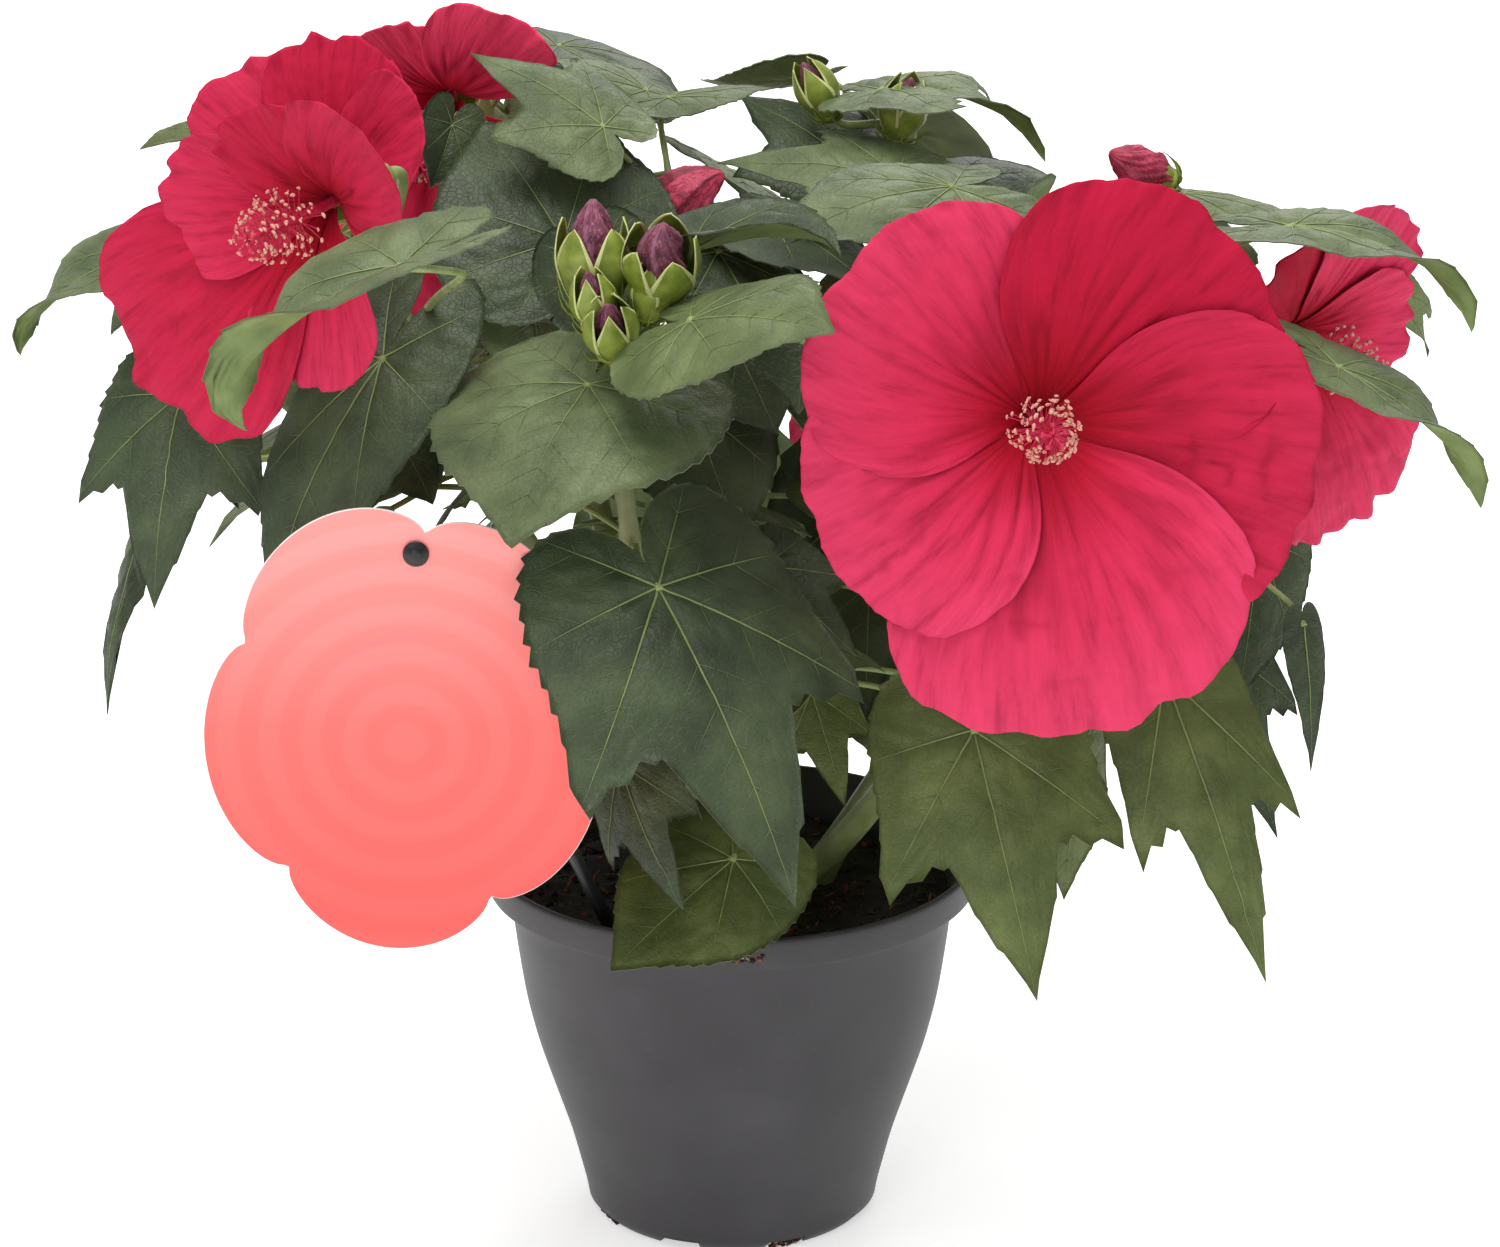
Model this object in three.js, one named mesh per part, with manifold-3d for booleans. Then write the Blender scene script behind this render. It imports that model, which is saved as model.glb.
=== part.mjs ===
// A potted hardy hibiscus (rose mallow) in flower: nursery pot, soil, eight stems, their foliage,
// six open flowers and a plain hanging care card.
//
// Millimetres, +Z up. The origin is the centre of the pot's flat underside, and -Y is the front,
// the side that the largest flower and the card face.
import * as THREE from 'three';
import { mergeVertices } from 'three/addons/utils/BufferGeometryUtils.js';
import Module from 'manifold-3d';

const wasm = await Module();
wasm.setup();

// Driving dimensions, in millimetres and degrees.
const GAP = 0.3;              // left between any two solids that meet
const SLIVER = 0.12;          // smallest detail kept where solids are joined
const POT_HEIGHT = 146;
const RIM_RADIUS = 95;        // outside of the rim, a 19 cm pot
const RIM_DEPTH = 12;         // height of the skirt round the rim
const POT_FOOT_RADIUS = 53;   // of the flat underside
const POT_WALL = 1.8;
const POT_FLOOR = 2.4;
const POT_SIDES = 24;         // flat faces round the pot and the soil
const DRAIN_SLOTS = 8;        // round the edge of the pot's floor
const SOIL_TOP = 130;         // level round the stems
const STEM_FOOT_RADIUS = 5.6;
const STEM_TOP_RADIUS = 2.6;
const BOUGH_SHARE = 0.42;     // share of a stem that is bare bough, below its foliage
const PETIOLE_RADIUS = 1.5;
const LEAF_THICKNESS = 1.4;
const PETAL_THICKNESS = 1.6;
const THROAT_DEPTH = 24;      // of a flower's funnel
const PETAL_SPREAD = 56;      // degrees from a petal's middle to its side
const FUNNEL_SHARE = 0.34;    // of a flower's radius, where its petals are joined all round
const FLOWER_SIDES = 20;      // points round an open flower
const CALYX_DEPTH = 34;       // from a flower's throat back to its stalk
const FLOWER_STALK_RADIUS = 2.6;
const CARD_WIDTH = 144;
const CARD_HEIGHT = 170;
const CARD_LOBES = 5;
const CARD_THICKNESS = 1.2;
const LOBE_DEPTH = 0.16;      // share of the card's half width that the lobes stand out by
const CARD_STEPS = 50;        // points round the card's outline

const RAD = Math.PI / 180;
const UP = new THREE.Vector3(0, 0, 1);
const at3 = (p) => new THREE.Vector3(p[0], p[1], p[2]);

// Materials, with the colours of the real thing.
const finish = (color, roughness) => new THREE.MeshStandardMaterial({ color, roughness, metalness: 0 });
const POT_PLASTIC = finish(0x454347, 0.55);
const SOIL = finish(0x2a1d16, 0.95);
const BARK = finish(0x8c9768, 0.7);
const FOLIAGE = finish(0x4a6348, 0.6);
const PETALS = finish(0xc41f45, 0.55);
const CARD = finish(0xff6f68, 0.35);
const CARD_STICK = finish(0x17171a, 0.4);

// The stems. foot is where each one leaves the soil, lean is what it curves towards, and top is
// where its foliage ends.
const STEMS = {
  front: { foot: [-6, -18], lean: [-42, -55, 260], top: [-40, -106, 385] },
  left: { foot: [-26, -6], lean: [-70, -28, 290], top: [-128, -56, 384] },
  upper_left: { foot: [-22, 16], lean: [-52, 64, 290], top: [-98, 104, 420] },
  back: { foot: [-4, 6], lean: [-20, 18, 290], top: [-22, 12, 402] },
  back_right: { foot: [14, 24], lean: [34, 60, 290], top: [68, 62, 415] },
  rear: { foot: [-6, 34], lean: [16, 70, 225], top: [58, 114, 250] },
  right: { foot: [32, 10], lean: [104, -4, 250], top: [156, -6, 374] },
  front_right: { foot: [20, -10], lean: [102, -45, 218], top: [96, -66, 348] },
};

// The open flowers. throat is where the petals meet, axis is the way the flower faces, and cup is
// how far the rim stands forward of a flat disc. Each petal is its angle round the throat and its
// length as a share of the radius, with its half angle where that isn't PETAL_SPREAD.
const FLOWERS = [
  { name: 'flower_front', stem: 'front_right', from: 1, throat: [107, -128, 358],
    axis: [0.1, -0.985, 0.13], radius: 96, cup: 8,
    petals: [[48, 0.98], [140, 0.94], [207, 0.9], [279, 1.16], [343, 1.03]] },
  { name: 'flower_left', stem: 'left', from: 1, throat: [-140, -120, 434],
    axis: [-0.56, -0.8, -0.1], radius: 100, cup: 14,
    petals: [[42, 0.5, 58], [118, 0.42, 50], [172, 0.62, 50], [224, 0.98, 42], [276, 0.6, 44]] },
  { name: 'flower_upper_left', stem: 'left', from: 0.92, throat: [-146, -18, 412],
    axis: [-0.344, -0.656, 0.593], radius: 68, cup: 20,
    petals: [[26, 0.7], [90, 0.74], [152, 0.77, 48], [234, 0.42], [306, 0.42]] },
  { name: 'flower_back_left', stem: 'upper_left', from: 1, throat: [-107, 60, 427],
    axis: [-0.2, -0.88, -0.42], radius: 84, cup: 12,
    petals: [[58, 0.84, 32], [104, 0.62, 34], [185, 0.62], [245, 1.05], [300, 1]] },
  { name: 'flower_right', stem: 'right', from: 1, throat: [205, -48, 366],
    axis: [0.62, -0.76, -0.2], radius: 90, cup: 6,
    petals: [[68, 0.66, 40], [128, 0.6, 60], [215, 0.55, 46], [292, 0.9, 38], [8, 0.5, 52]] },
  { name: 'flower_rear', stem: 'rear', from: 1, throat: [78, 164, 262],
    axis: [0.3, 0.92, 0.2], radius: 70, cup: 8,
    petals: [[30, 1], [102, 0.95], [174, 1], [246, 1.05], [318, 1]] },
];

// The buds: where each one stands, the way it points, its length, and how far along which stem
// its stalk leaves.
const BUDS = [
  { stem: 'front', from: 0.98, foot: [-48, -104, 389], point: [0, -0.1, 1], long: 42 },
  { stem: 'front', from: 0.98, foot: [-25, -104, 395], point: [0.05, -0.7, 0.9], long: 42 },
  { stem: 'front', from: 0.98, foot: [-41, -118, 379], point: [-0.05, -0.7, 0.8], long: 34 },
  { stem: 'front', from: 0.98, foot: [-46, -120, 388], point: [-0.15, -0.4, 1], long: 28 },
  { stem: 'front', from: 0.98, foot: [-30, -114, 390], point: [0.2, -0.3, 1], long: 28 },
  { stem: 'back', from: 1, foot: [-35, -16, 400], point: [0.82, -0.16, 0.5], long: 38 },
  { stem: 'back_right', from: 1, foot: [62, 44, 416], point: [0.2, -0.5, 1], long: 32 },
  { stem: 'back_right', from: 1, foot: [38, 44, 424], point: [-0.5, -0.3, 1], long: 28 },
  { stem: 'right', from: 0.95, foot: [163, -14, 413], point: [-0.85, -0.25, 0.5], long: 29 },
  { stem: 'rear', from: 0.94, foot: [14, 124, 300], point: [-0.5, 0.2, 1], long: 34 },
];

// The leaves that show one by one. Each row is a stem, how far up it the stalk leaves, where the
// blade starts, where its tip is, its width, its shape, and what else sets it: face is where the
// upper side looks, bend how far the blade arches over its length, fold how far its halves rise.
const LEAVES = [
  ['front', 0.86, [-50, -120, 369], [-76, -185, 330], 104, 'heart', { bend: 30, fold: 4 }],
  ['front', 0.62, [-25, -154, 305], [23, -194, 198], 124, 'maple', { face: [0.45, -1, 0.5], bend: 34 }],
  ['front', 0.90, [-14, -150, 401], [36, -205, 412], 66, 'heart', { face: [0.1, -0.75, 1], bend: 24 }],
  ['front', 0.95, [-14, -92, 410], [42, -112, 420], 54, 'heart', { fold: 34, bend: 20 }],
  ['front', 0.94, [-68, -128, 398], [-124, -170, 362], 52, 'heart', { face: [-0.5, 0.3, 1], bend: 44, fold: 12 }],
  ['front', 0.84, [26, -124, 386], [24, -136, 362], 34, 'lance', { face: [0, -1, 0.2] }],
  ['front', 0.60, [-15, -64, 345], [4, -92, 296], 58, 'heart', { face: [0.2, -1, 0.6], bend: 20 }],
  ['front', 0.46, [-41, -92, 216], [-16, -122, 166], 48, 'maple', { face: [-0.6, -0.8, 0.3], bend: 24 }],
  ['front', 0.46, [1, -92, 178], [-44, -132, 149], 62, 'heart', { face: [0.1, -0.9, 1], bend: 20 }],
  ['left', 0.90, [-110, -198, 434], [-180, -224, 384], 52, 'heart', { face: [-0.6, -0.2, 1], bend: 40, fold: 26 }],
  ['left', 0.74, [-124, -98, 372], [-166, -126, 286], 58, 'heart', { face: [-0.6, -0.9, 0.4], bend: 36 }],
  ['left', 0.60, [-212, -44, 398], [-264, -62, 364], 46, 'heart', { face: [-0.3, -0.3, 1], bend: 40, fold: 14 }],
  ['left', 0.92, [-221, -38, 392], [-233, -42, 366], 26, 'heart', { face: [-1, -0.6, 0.3], bend: 20 }],
  ['left', 0.84, [-198, -80, 353], [-206, -112, 281], 76, 'maple', { face: [-0.3, -1, 0.7], bend: 40 }],
  ['left', 0.68, [-212, -58, 306], [-229, -82, 230], 30, 'lance', { face: [-1, -0.5, 0.2], bend: 24 }],
  ['left', 0.80, [-156, -80, 370], [-150, -92, 344], 30, 'heart', { face: [0.2, -1, 0.3] }],
  ['left', 0.70, [-190, 12, 440], [-218, 2, 435], 26, 'heart', { fold: 20 }],
  ['left', 0.68, [-184, 8, 430], [-197, -6, 412], 22, 'heart', { bend: 30 }],
  ['back', 0.88, [-60, -58, 404], [-92, -18, 438], 90, 'heart', { face: [0.2, -0.8, 0.8], bend: 22, fold: 6 }],
  ['back', 0.97, [-46, -36, 441], [-96, -14, 462], 68, 'maple', { face: [-0.1, -0.25, 1], bend: 30 }],
  ['back', 0.98, [-32, 56, 432], [-70, 74, 440], 36, 'heart', { bend: 30 }],
  ['back', 0.99, [-24, 28, 436], [16, 42, 435], 30, 'heart', { bend: 20 }],
  ['back', 0.95, [-26, -2, 432], [2, -18, 410], 40, 'heart', { bend: 40 }],
  ['back_right', 0.99, [56, 38, 437], [120, 18, 414], 74, 'maple', { bend: 66, fold: 8 }],
  ['back_right', 0.97, [25, 72, 432], [-12, 94, 428], 34, 'heart', { face: [0, -0.5, -1], bend: 40 }],
  ['back_right', 0.92, [40, 38, 412], [2, 62, 428], 70, 'maple', { face: [0, -0.4, 1], bend: 24 }],
  ['back_right', 0.84, [62, -6, 414], [-6, 10, 414], 60, 'maple', { face: [0, -0.45, 1], bend: 26 }],
  ['back_right', 0.80, [80, -56, 424], [18, -92, 414], 66, 'heart', { face: [0, -0.3, 1], bend: 30 }],
  ['back_right', 0.90, [82, 26, 404], [120, 42, 403], 50, 'heart', { face: [0, -0.3, 1], bend: 20 }],
  ['right', 0.97, [166, -20, 412], [208, -42, 405], 34, 'heart', { bend: 24 }],
  ['right', 0.93, [198, -86, 414], [266, -114, 384], 36, 'heart', { face: [-0.1, -0.05, 1], bend: 60, fold: 12 }],
  ['right', 0.6, [214, -122, 376], [268, -150, 334], 38, 'heart', { face: [0.2, -0.1, 1], bend: 34, fold: 12 }],
  ['right', 0.90, [248, 8, 368], [262, -4, 344], 30, 'maple', { face: [0.3, -0.6, 0.6] }],
  ['right', 0.84, [196, -36, 284], [188, -54, 226], 46, 'heart', { face: [0.3, -1, 0.4], bend: 20 }],
  ['right', 0.52, [219, -74, 264], [223, -84, 208], 22, 'lance', { face: [0.4, -1, 0.2], bend: 12 }],
  ['front_right', 0.62, [88, -112, 236], [111, -152, 144], 96, 'maple', { face: [0, -1, 0.45], bend: 24 }],
  ['front_right', 0.74, [158, -92, 250], [196, -132, 142], 66, 'maple', { face: [0.1, -1, 0.35], bend: 30 }],
  ['front_right', 0.70, [176, -50, 252], [206, -62, 172], 56, 'maple', { face: [0.3, -1, 0.3], bend: 20 }],
  ['front_right', 0.45, [30, -38, 224], [43, -48, 180], 40, 'maple', { face: [0.3, -1, 0.2] }],
  ['front_right', 0.58, [12, -76, 286], [48, -98, 256], 46, 'maple', { face: [0.2, -1, 0.5], bend: 20 }],
  ['front_right', 0.50, [128, -58, 204], [124, -64, 150], 36, 'heart', { face: [0.6, -0.9, 0.1] }],
];

// The leaves of the sides and back, dealt out along each stem by a seeded rule.
const FILL = {
  tries: 20,            // leaves tried on each stem
  turn: 137.5,          // degrees between one and the next round the stem
  stray: 40,            // most degrees that a leaf stands off that turn
  twist: 30,            // degrees within which a blade turns off its stalk's heading
  from: 0.46,           // share of a stem's length where its lowest leaf is
  span: 0.54,           // share of a stem's length over which the leaves are dealt out
  rise: [-22, 75],      // lowest slope of a stalk, and what the topmost one can add to it
  droop: [18, 64],      // least and most slope of a blade, downwards
  stalk: [58, 112],     // shortest and longest leaf stalk
  blade: [66, 104],     // shortest and longest blade
  hearts: 0.55,         // share of heart-shaped blades, the others being lobed
  room: { centre: [0, 25, 262], reach: [225, 185, 182] },
  front: -46,           // a leaf further forward than this is one of those that show one by one
  shifts: [0, 7, -7],
};

// Blade outlines: how far the edge lies from the stalk's end, as a share of the length, at
// angles from the midrib. Each is mirrored to the other half.
const OUTLINES = {
  heart: [[0, 1], [24, 0.79], [62, 0.72], [108, 0.64], [150, 0.47], [180, 0.08]],
  maple: [[0, 1], [12, 0.74], [32, 0.53], [50, 0.8], [72, 0.56], [120, 0.45], [180, 0.08]],
  lance: [[0, 1], [24, 0.55], [90, 0.3], [180, 0.06]],
};
const CURL = 26;              // degrees by which a blade's sides droop towards their edge

// A repeatable sequence of numbers from 0 to 1.
function randomFrom(seed) {
  let state = seed >>> 0;
  return () => {
    state = (Math.imul(state, 1664525) + 1013904223) >>> 0;
    return state / 4294967296;
  };
}

// A closed geometry as a solid. Its seams are merged, and it is turned the right way out.
function solidOf(geometry) {
  geometry.deleteAttribute('normal');
  geometry.deleteAttribute('uv');
  const merged = mergeVertices(geometry, 1e-4);
  const place = merged.getAttribute('position');
  const index = Array.from(merged.getIndex().array);
  const corners = [];
  const a = new THREE.Vector3();
  const b = new THREE.Vector3();
  const c = new THREE.Vector3();
  let volume = 0;
  for (let i = 0; i < index.length; i += 3) {
    const [p, q, r] = [index[i], index[i + 1], index[i + 2]];
    if (p === q || q === r || r === p) continue;
    a.fromBufferAttribute(place, p);
    b.fromBufferAttribute(place, q);
    c.fromBufferAttribute(place, r);
    volume += a.dot(b.cross(c));
    corners.push([p, q, r]);
  }
  const triVerts = new Uint32Array(corners.flatMap(([p, q, r]) => (volume < 0 ? [p, r, q] : [p, q, r])));
  const vertProperties = new Float32Array(place.array);
  return new wasm.Manifold(new wasm.Mesh({ numProp: 3, vertProperties, triVerts }));
}

// Joins solids, and clears away the slivers that a join leaves.
const fuse = (solids) => solids.reduce((sum, solid) => sum.add(solid)).simplify(SLIVER);

function meshOf(name, solid, material) {
  const { vertProperties, triVerts } = solid.getMesh();
  const geometry = new THREE.BufferGeometry();
  geometry.setAttribute('position', new THREE.BufferAttribute(vertProperties, 3));
  geometry.setIndex(new THREE.BufferAttribute(triVerts, 1));
  geometry.computeVertexNormals();
  const mesh = new THREE.Mesh(geometry, material);
  mesh.name = name;
  return mesh;
}

// Moves every vertex of a geometry to where the function puts it.
function shaped(geometry, move) {
  const place = geometry.getAttribute('position');
  const point = new THREE.Vector3();
  for (let i = 0; i < place.count; i += 1) {
    const to = move(point.fromBufferAttribute(place, i), i);
    place.setXYZ(i, to.x, to.y, to.z);
  }
  return geometry;
}

// A tapering limb along a curve, closed at both ends. flatFoot cuts its foot level.
function limb(curve, radiusAt, sides, steps, flatFoot = false) {
  const rings = [];
  let across = null;
  for (let k = 0; k <= steps; k += 1) {
    const t = k / steps;
    const along = curve.getTangentAt(t);
    if (flatFoot) along.lerp(UP, Math.max(0, 1 - t / 0.15)).normalize();
    if (!across) across = Math.abs(along.x) < 0.8 ? new THREE.Vector3(1, 0, 0) : new THREE.Vector3(0, 1, 0);
    across = across.clone().addScaledVector(along, -across.dot(along)).normalize();
    const side = along.clone().cross(across);
    rings.push({ centre: curve.getPointAt(t), across, side, radius: radiusAt(t) });
  }
  return solidOf(shaped(new THREE.CylinderGeometry(1, 1, 1, sides, steps), (p) => {
    const ring = rings[Math.round((p.y + 0.5) * steps)];
    return ring.centre.clone()
      .addScaledVector(ring.across, p.x * ring.radius)
      .addScaledVector(ring.side, p.z * ring.radius);
  }));
}

// A turned solid about an axis through a point, from pairs of radius and height.
function turned(profile, sides, foot, axis) {
  const points = profile.map(([r, h]) => new THREE.Vector2(r, h));
  const geometry = new THREE.LatheGeometry(points, sides);
  geometry.applyQuaternion(new THREE.Quaternion().setFromUnitVectors(new THREE.Vector3(0, 1, 0), axis));
  geometry.translate(foot.x, foot.y, foot.z);
  return solidOf(geometry);
}

// The pot's side, as pairs of radius and height, from its foot to below the skirt.
const POT_SIDE = [[56, 4], [60, 20], [63, 32], [69, 50], [75.6, 70], [80, 88], [83, 108], [85, 124]];
const POT_INSIDE = [1, 3, 5, 7].map((i) => [POT_SIDE[i][0] - POT_WALL, POT_SIDE[i][1]]);

// The pot: a rounded taper with a skirt round the rim, and drain slots round its floor's edge.
function pot() {
  const skirt = POT_HEIGHT - RIM_DEPTH;
  const outer = [[POT_FOOT_RADIUS, 0], ...POT_SIDE, [RIM_RADIUS - 7.5, skirt], [RIM_RADIUS - 0.8, skirt],
    [RIM_RADIUS, POT_HEIGHT - 1], [RIM_RADIUS - 1, POT_HEIGHT]];
  const inner = [[RIM_RADIUS - 4, POT_HEIGHT], [RIM_RADIUS - 7.5 - POT_WALL, skirt],
    ...POT_INSIDE.toReversed(), [55 - POT_WALL, POT_FLOOR]];
  const body = turned([[0, 0], ...outer, ...inner, [0, POT_FLOOR]], POT_SIDES, new THREE.Vector3(), UP);
  const slots = [];
  for (let k = 0; k < DRAIN_SLOTS; k += 1) {
    const slot = new THREE.BoxGeometry(14, 13, 8);
    slot.translate(0, -POT_FOOT_RADIUS, 0);
    slot.rotateZ((k + 0.5) * (360 / DRAIN_SLOTS) * RAD);
    slots.push(solidOf(slot));
  }
  return body.subtract(fuse(slots));
}

// The soil fills the pot, clear of its wall, with an uneven surface that is level round the stems.
function soil() {
  const foot = [[0, POT_FLOOR + GAP], [54.6 - POT_WALL - GAP, POT_FLOOR + GAP]];
  const wall = POT_INSIDE.map(([r, z]) => [r - GAP, z]);
  const top = [[84, SOIL_TOP - 2], [70, SOIL_TOP + 1.5], [52, SOIL_TOP], [0, SOIL_TOP]];
  return turned([...foot, ...wall, ...top], POT_SIDES, new THREE.Vector3(), UP);
}

// The care card: a plain card with five rounded lobes, hung on a peg at the head of a thin stick
// that stands in the soil.
const CARD_HOLE = new THREE.Vector3(-110, -150, 316);
const CARD_CENTRE = new THREE.Vector3(-115, -150, 251);
const FIRST_NOTCH = 82;       // degrees from +X to a notch between two lobes
const PEG_RADIUS = 2.4;
const STICK_RADIUS = 2.6;
const STICK_FOOT = new THREE.Vector3(-44, -56, SOIL_TOP + GAP + 1.6);
function card() {
  const outline = new THREE.Shape();
  for (let k = 0; k < CARD_STEPS; k += 1) {
    const angle = (k / CARD_STEPS) * 2 * Math.PI;
    const lobe = Math.abs(Math.sin((CARD_LOBES / 2) * (angle - FIRST_NOTCH * RAD)));
    const reach = 1 - LOBE_DEPTH + LOBE_DEPTH * Math.sqrt(lobe);
    const x = (CARD_WIDTH / 2) * reach * Math.cos(angle);
    const y = (CARD_HEIGHT / 2) * reach * Math.sin(angle);
    if (k === 0) outline.moveTo(x, y);
    else outline.lineTo(x, y);
  }
  outline.closePath();
  const hole = new THREE.Path();
  const holeAt = CARD_HOLE.clone().sub(CARD_CENTRE);
  hole.absarc(holeAt.x, holeAt.z, PEG_RADIUS + GAP, 0, 2 * Math.PI, true);
  outline.holes.push(hole);
  const sheet = new THREE.ExtrudeGeometry(outline, {
    depth: CARD_THICKNESS, bevelEnabled: false, curveSegments: 8,
  });
  sheet.rotateX(90 * RAD);
  sheet.translate(CARD_CENTRE.x, CARD_CENTRE.y + CARD_THICKNESS / 2, CARD_CENTRE.z);
  return solidOf(sheet);
}

function cardStick() {
  const front = new THREE.Vector3(0, -1, 0);
  const behind = CARD_THICKNESS / 2 + GAP;
  const peg = turned([[0, -behind - 3], [PEG_RADIUS, -behind - 3], [PEG_RADIUS, behind],
    [4.6, behind], [4.6, behind + 1.2], [2.4, behind + 2.6], [0, behind + 2.6]], 10, CARD_HOLE, front);
  const head = CARD_HOLE.clone().add(new THREE.Vector3(0, behind + 2.4, 4));
  const stick = limb(new THREE.LineCurve3(STICK_FOOT, head), () => STICK_RADIUS, 4, 1, true);
  return stick.add(peg);
}

// A stem's curve, and its radius from foot to top with a flare at the soil.
function stemCurve({ foot, lean, top }) {
  const start = new THREE.Vector3(foot[0], foot[1], SOIL_TOP + GAP);
  return new THREE.QuadraticBezierCurve3(start, at3(lean), at3(top));
}

function stemRadius(t) {
  return STEM_FOOT_RADIUS + (STEM_TOP_RADIUS - STEM_FOOT_RADIUS) * t + 2.2 * Math.exp(-t * 28);
}

// The stretch of a stem from one share of its length to another.
class Stretch extends THREE.Curve {
  constructor(curve, from, to) {
    super();
    this.whole = curve;
    this.from = from;
    this.to = to;
  }

  getPoint(t, target = new THREE.Vector3()) {
    return this.whole.getPointAt(this.from + (this.to - this.from) * t, target);
  }
}

// A stalk leaves the stem outwards and reaches its end from the way that it is told.
function stalk(curve, share, end, arrive, radius, sides = 3, steps = 3) {
  const root = curve.getPointAt(share);
  const reach = end.distanceTo(root);
  const leave = end.clone().sub(root).normalize().add(new THREE.Vector3(0, 0, 0.35)).normalize();
  const first = root.clone().addScaledVector(leave, reach * 0.4);
  const last = end.clone().addScaledVector(arrive, -reach * 0.3);
  const path = new THREE.CubicBezierCurve3(root, first, last, end);
  return limb(path, (t) => radius * (1.25 - 0.3 * t), sides, steps);
}

// The three directions of a blade: along its midrib, across it, and out of its upper side.
function bladeFrame(leaf) {
  const along = leaf.tip.clone().sub(leaf.at);
  const chord = along.length();
  along.normalize();
  const out = leaf.face.clone().addScaledVector(along, -leaf.face.dot(along)).normalize();
  return { along, out, across: along.clone().cross(out), chord };
}

// A point of a blade, at a share of the way to the edge and an angle from the midrib. The blade
// arches along its length, its halves rise by the fold and droop again towards the edge.
function bladePoint(leaf, frame, share, reach, angle, lift) {
  const bend = Math.max(leaf.bend, 1) * RAD;
  const length = frame.chord * (bend / 2) / Math.sin(bend / 2);
  const halfWidth = leaf.width / 2;
  const s = length * share * reach * Math.cos(angle);
  const w = (halfWidth / WIDEST[leaf.kind]) * share * reach * Math.sin(angle);
  const slope = bend / 2 - bend * Math.max(s, 0) / length;
  const x = s < 0 ? s * Math.cos(bend / 2) : (length / bend) * (Math.sin(bend / 2) - Math.sin(slope));
  const z = s < 0 ? s * Math.sin(bend / 2) : (length / bend) * (Math.cos(slope) - Math.cos(bend / 2));
  const fold = leaf.fold * RAD;
  const curl = CURL * RAD / halfWidth;
  const tilt = fold - curl * Math.abs(w);
  const y = Math.sign(w) * (Math.sin(fold) - Math.sin(tilt)) / curl;
  const rise = (Math.cos(tilt) - Math.cos(fold)) / curl + lift;
  return leaf.at.clone()
    .addScaledVector(frame.along, x - rise * Math.sin(slope))
    .addScaledVector(frame.out, z + rise * Math.cos(slope))
    .addScaledVector(frame.across, y);
}

const mirrored = (half) => [...half, ...half.slice(1, -1).reverse().map(([a, r]) => [-a, r])];
const EDGES = Object.fromEntries(Object.entries(OUTLINES).map(([kind, half]) => [kind, mirrored(half)]));
const WIDEST = Object.fromEntries(Object.entries(OUTLINES).map(([kind, half]) => [
  kind, Math.max(...half.map(([a, r]) => r * Math.sin(a * RAD))),
]));

// A blade as a solid: a disc laid out on the blade's surface. A blade that isn't plain has a ring
// inside its edge as well, so that it arches.
function blade(leaf, extra) {
  const edge = EDGES[leaf.kind];
  const frame = bladeFrame(leaf);
  const half = LEAF_THICKNESS / 2 + extra;
  const shares = leaf.plain ? [0, 1] : [0, 0.55, 1];
  const below = shares.map((share) => [share, -1]);
  const above = shares.toReversed().map((share) => [share, 1]);
  const section = [...below, ...above];
  const disc = new THREE.LatheGeometry(section.map(([r, h]) => new THREE.Vector2(r, h)), edge.length);
  return solidOf(shaped(disc, (p, i) => {
    const [angle, reach] = edge[Math.floor(i / section.length) % edge.length];
    const [share, side] = section[i % section.length];
    return bladePoint(leaf, frame, share, reach, angle * RAD, side * half);
  }));
}

// A leaf is its blade and the stalk that carries it, which comes up under the blade.
function leafSolid(leaf, curve, extra = 0) {
  const frame = bladeFrame(leaf);
  const arrive = frame.along.clone().multiplyScalar(0.55).addScaledVector(frame.out, 0.5).normalize();
  const end = leaf.at.clone().addScaledVector(frame.along, 1.5);
  const carried = stalk(curve, leaf.from, end, arrive, PETIOLE_RADIUS + extra);
  return { stalk: carried, blade: blade(leaf, extra) };
}

// A bud on its stalk: the green calyx below, and the rolled petals that stand out of it.
function budSolid(bud, curve) {
  const axis = at3(bud.point).normalize();
  const foot = at3(bud.foot);
  const r = bud.long * 0.27;
  const body = turned([[0, 0], [r * 0.8, bud.long * 0.12], [r, bud.long * 0.4],
    [r * 0.55, bud.long * 0.8], [0, bud.long]], 6, foot, axis);
  const end = foot.clone().addScaledVector(axis, 2.5);
  return stalk(curve, bud.from, end, axis, PETIOLE_RADIUS * 1.15).add(body);
}

function flowerFrame(flower) {
  const axis = at3(flower.axis).normalize();
  const up = UP.clone().addScaledVector(axis, -axis.z).normalize();
  return { axis, up, right: up.clone().cross(axis) };
}

// How far the open flower reaches at an angle round its throat, which is as far as the longest
// petal there, and which way across that petal the angle lies, from -1 to 1.
function petalAt(flower, angle) {
  const found = { far: FUNNEL_SHARE * flower.radius, across: 0 };
  for (const [middle, length, spread = PETAL_SPREAD] of flower.petals) {
    const off = ((angle - middle + 540) % 360) - 180;
    const across = Math.max(-1, Math.min(1, off / spread));
    const far = flower.radius * length * (1 - 0.05 * across ** 2 - 0.25 * across ** 4);
    if (Math.abs(off) < 1.15 * spread && far > found.far) Object.assign(found, { far, across });
  }
  return found;
}

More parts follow.
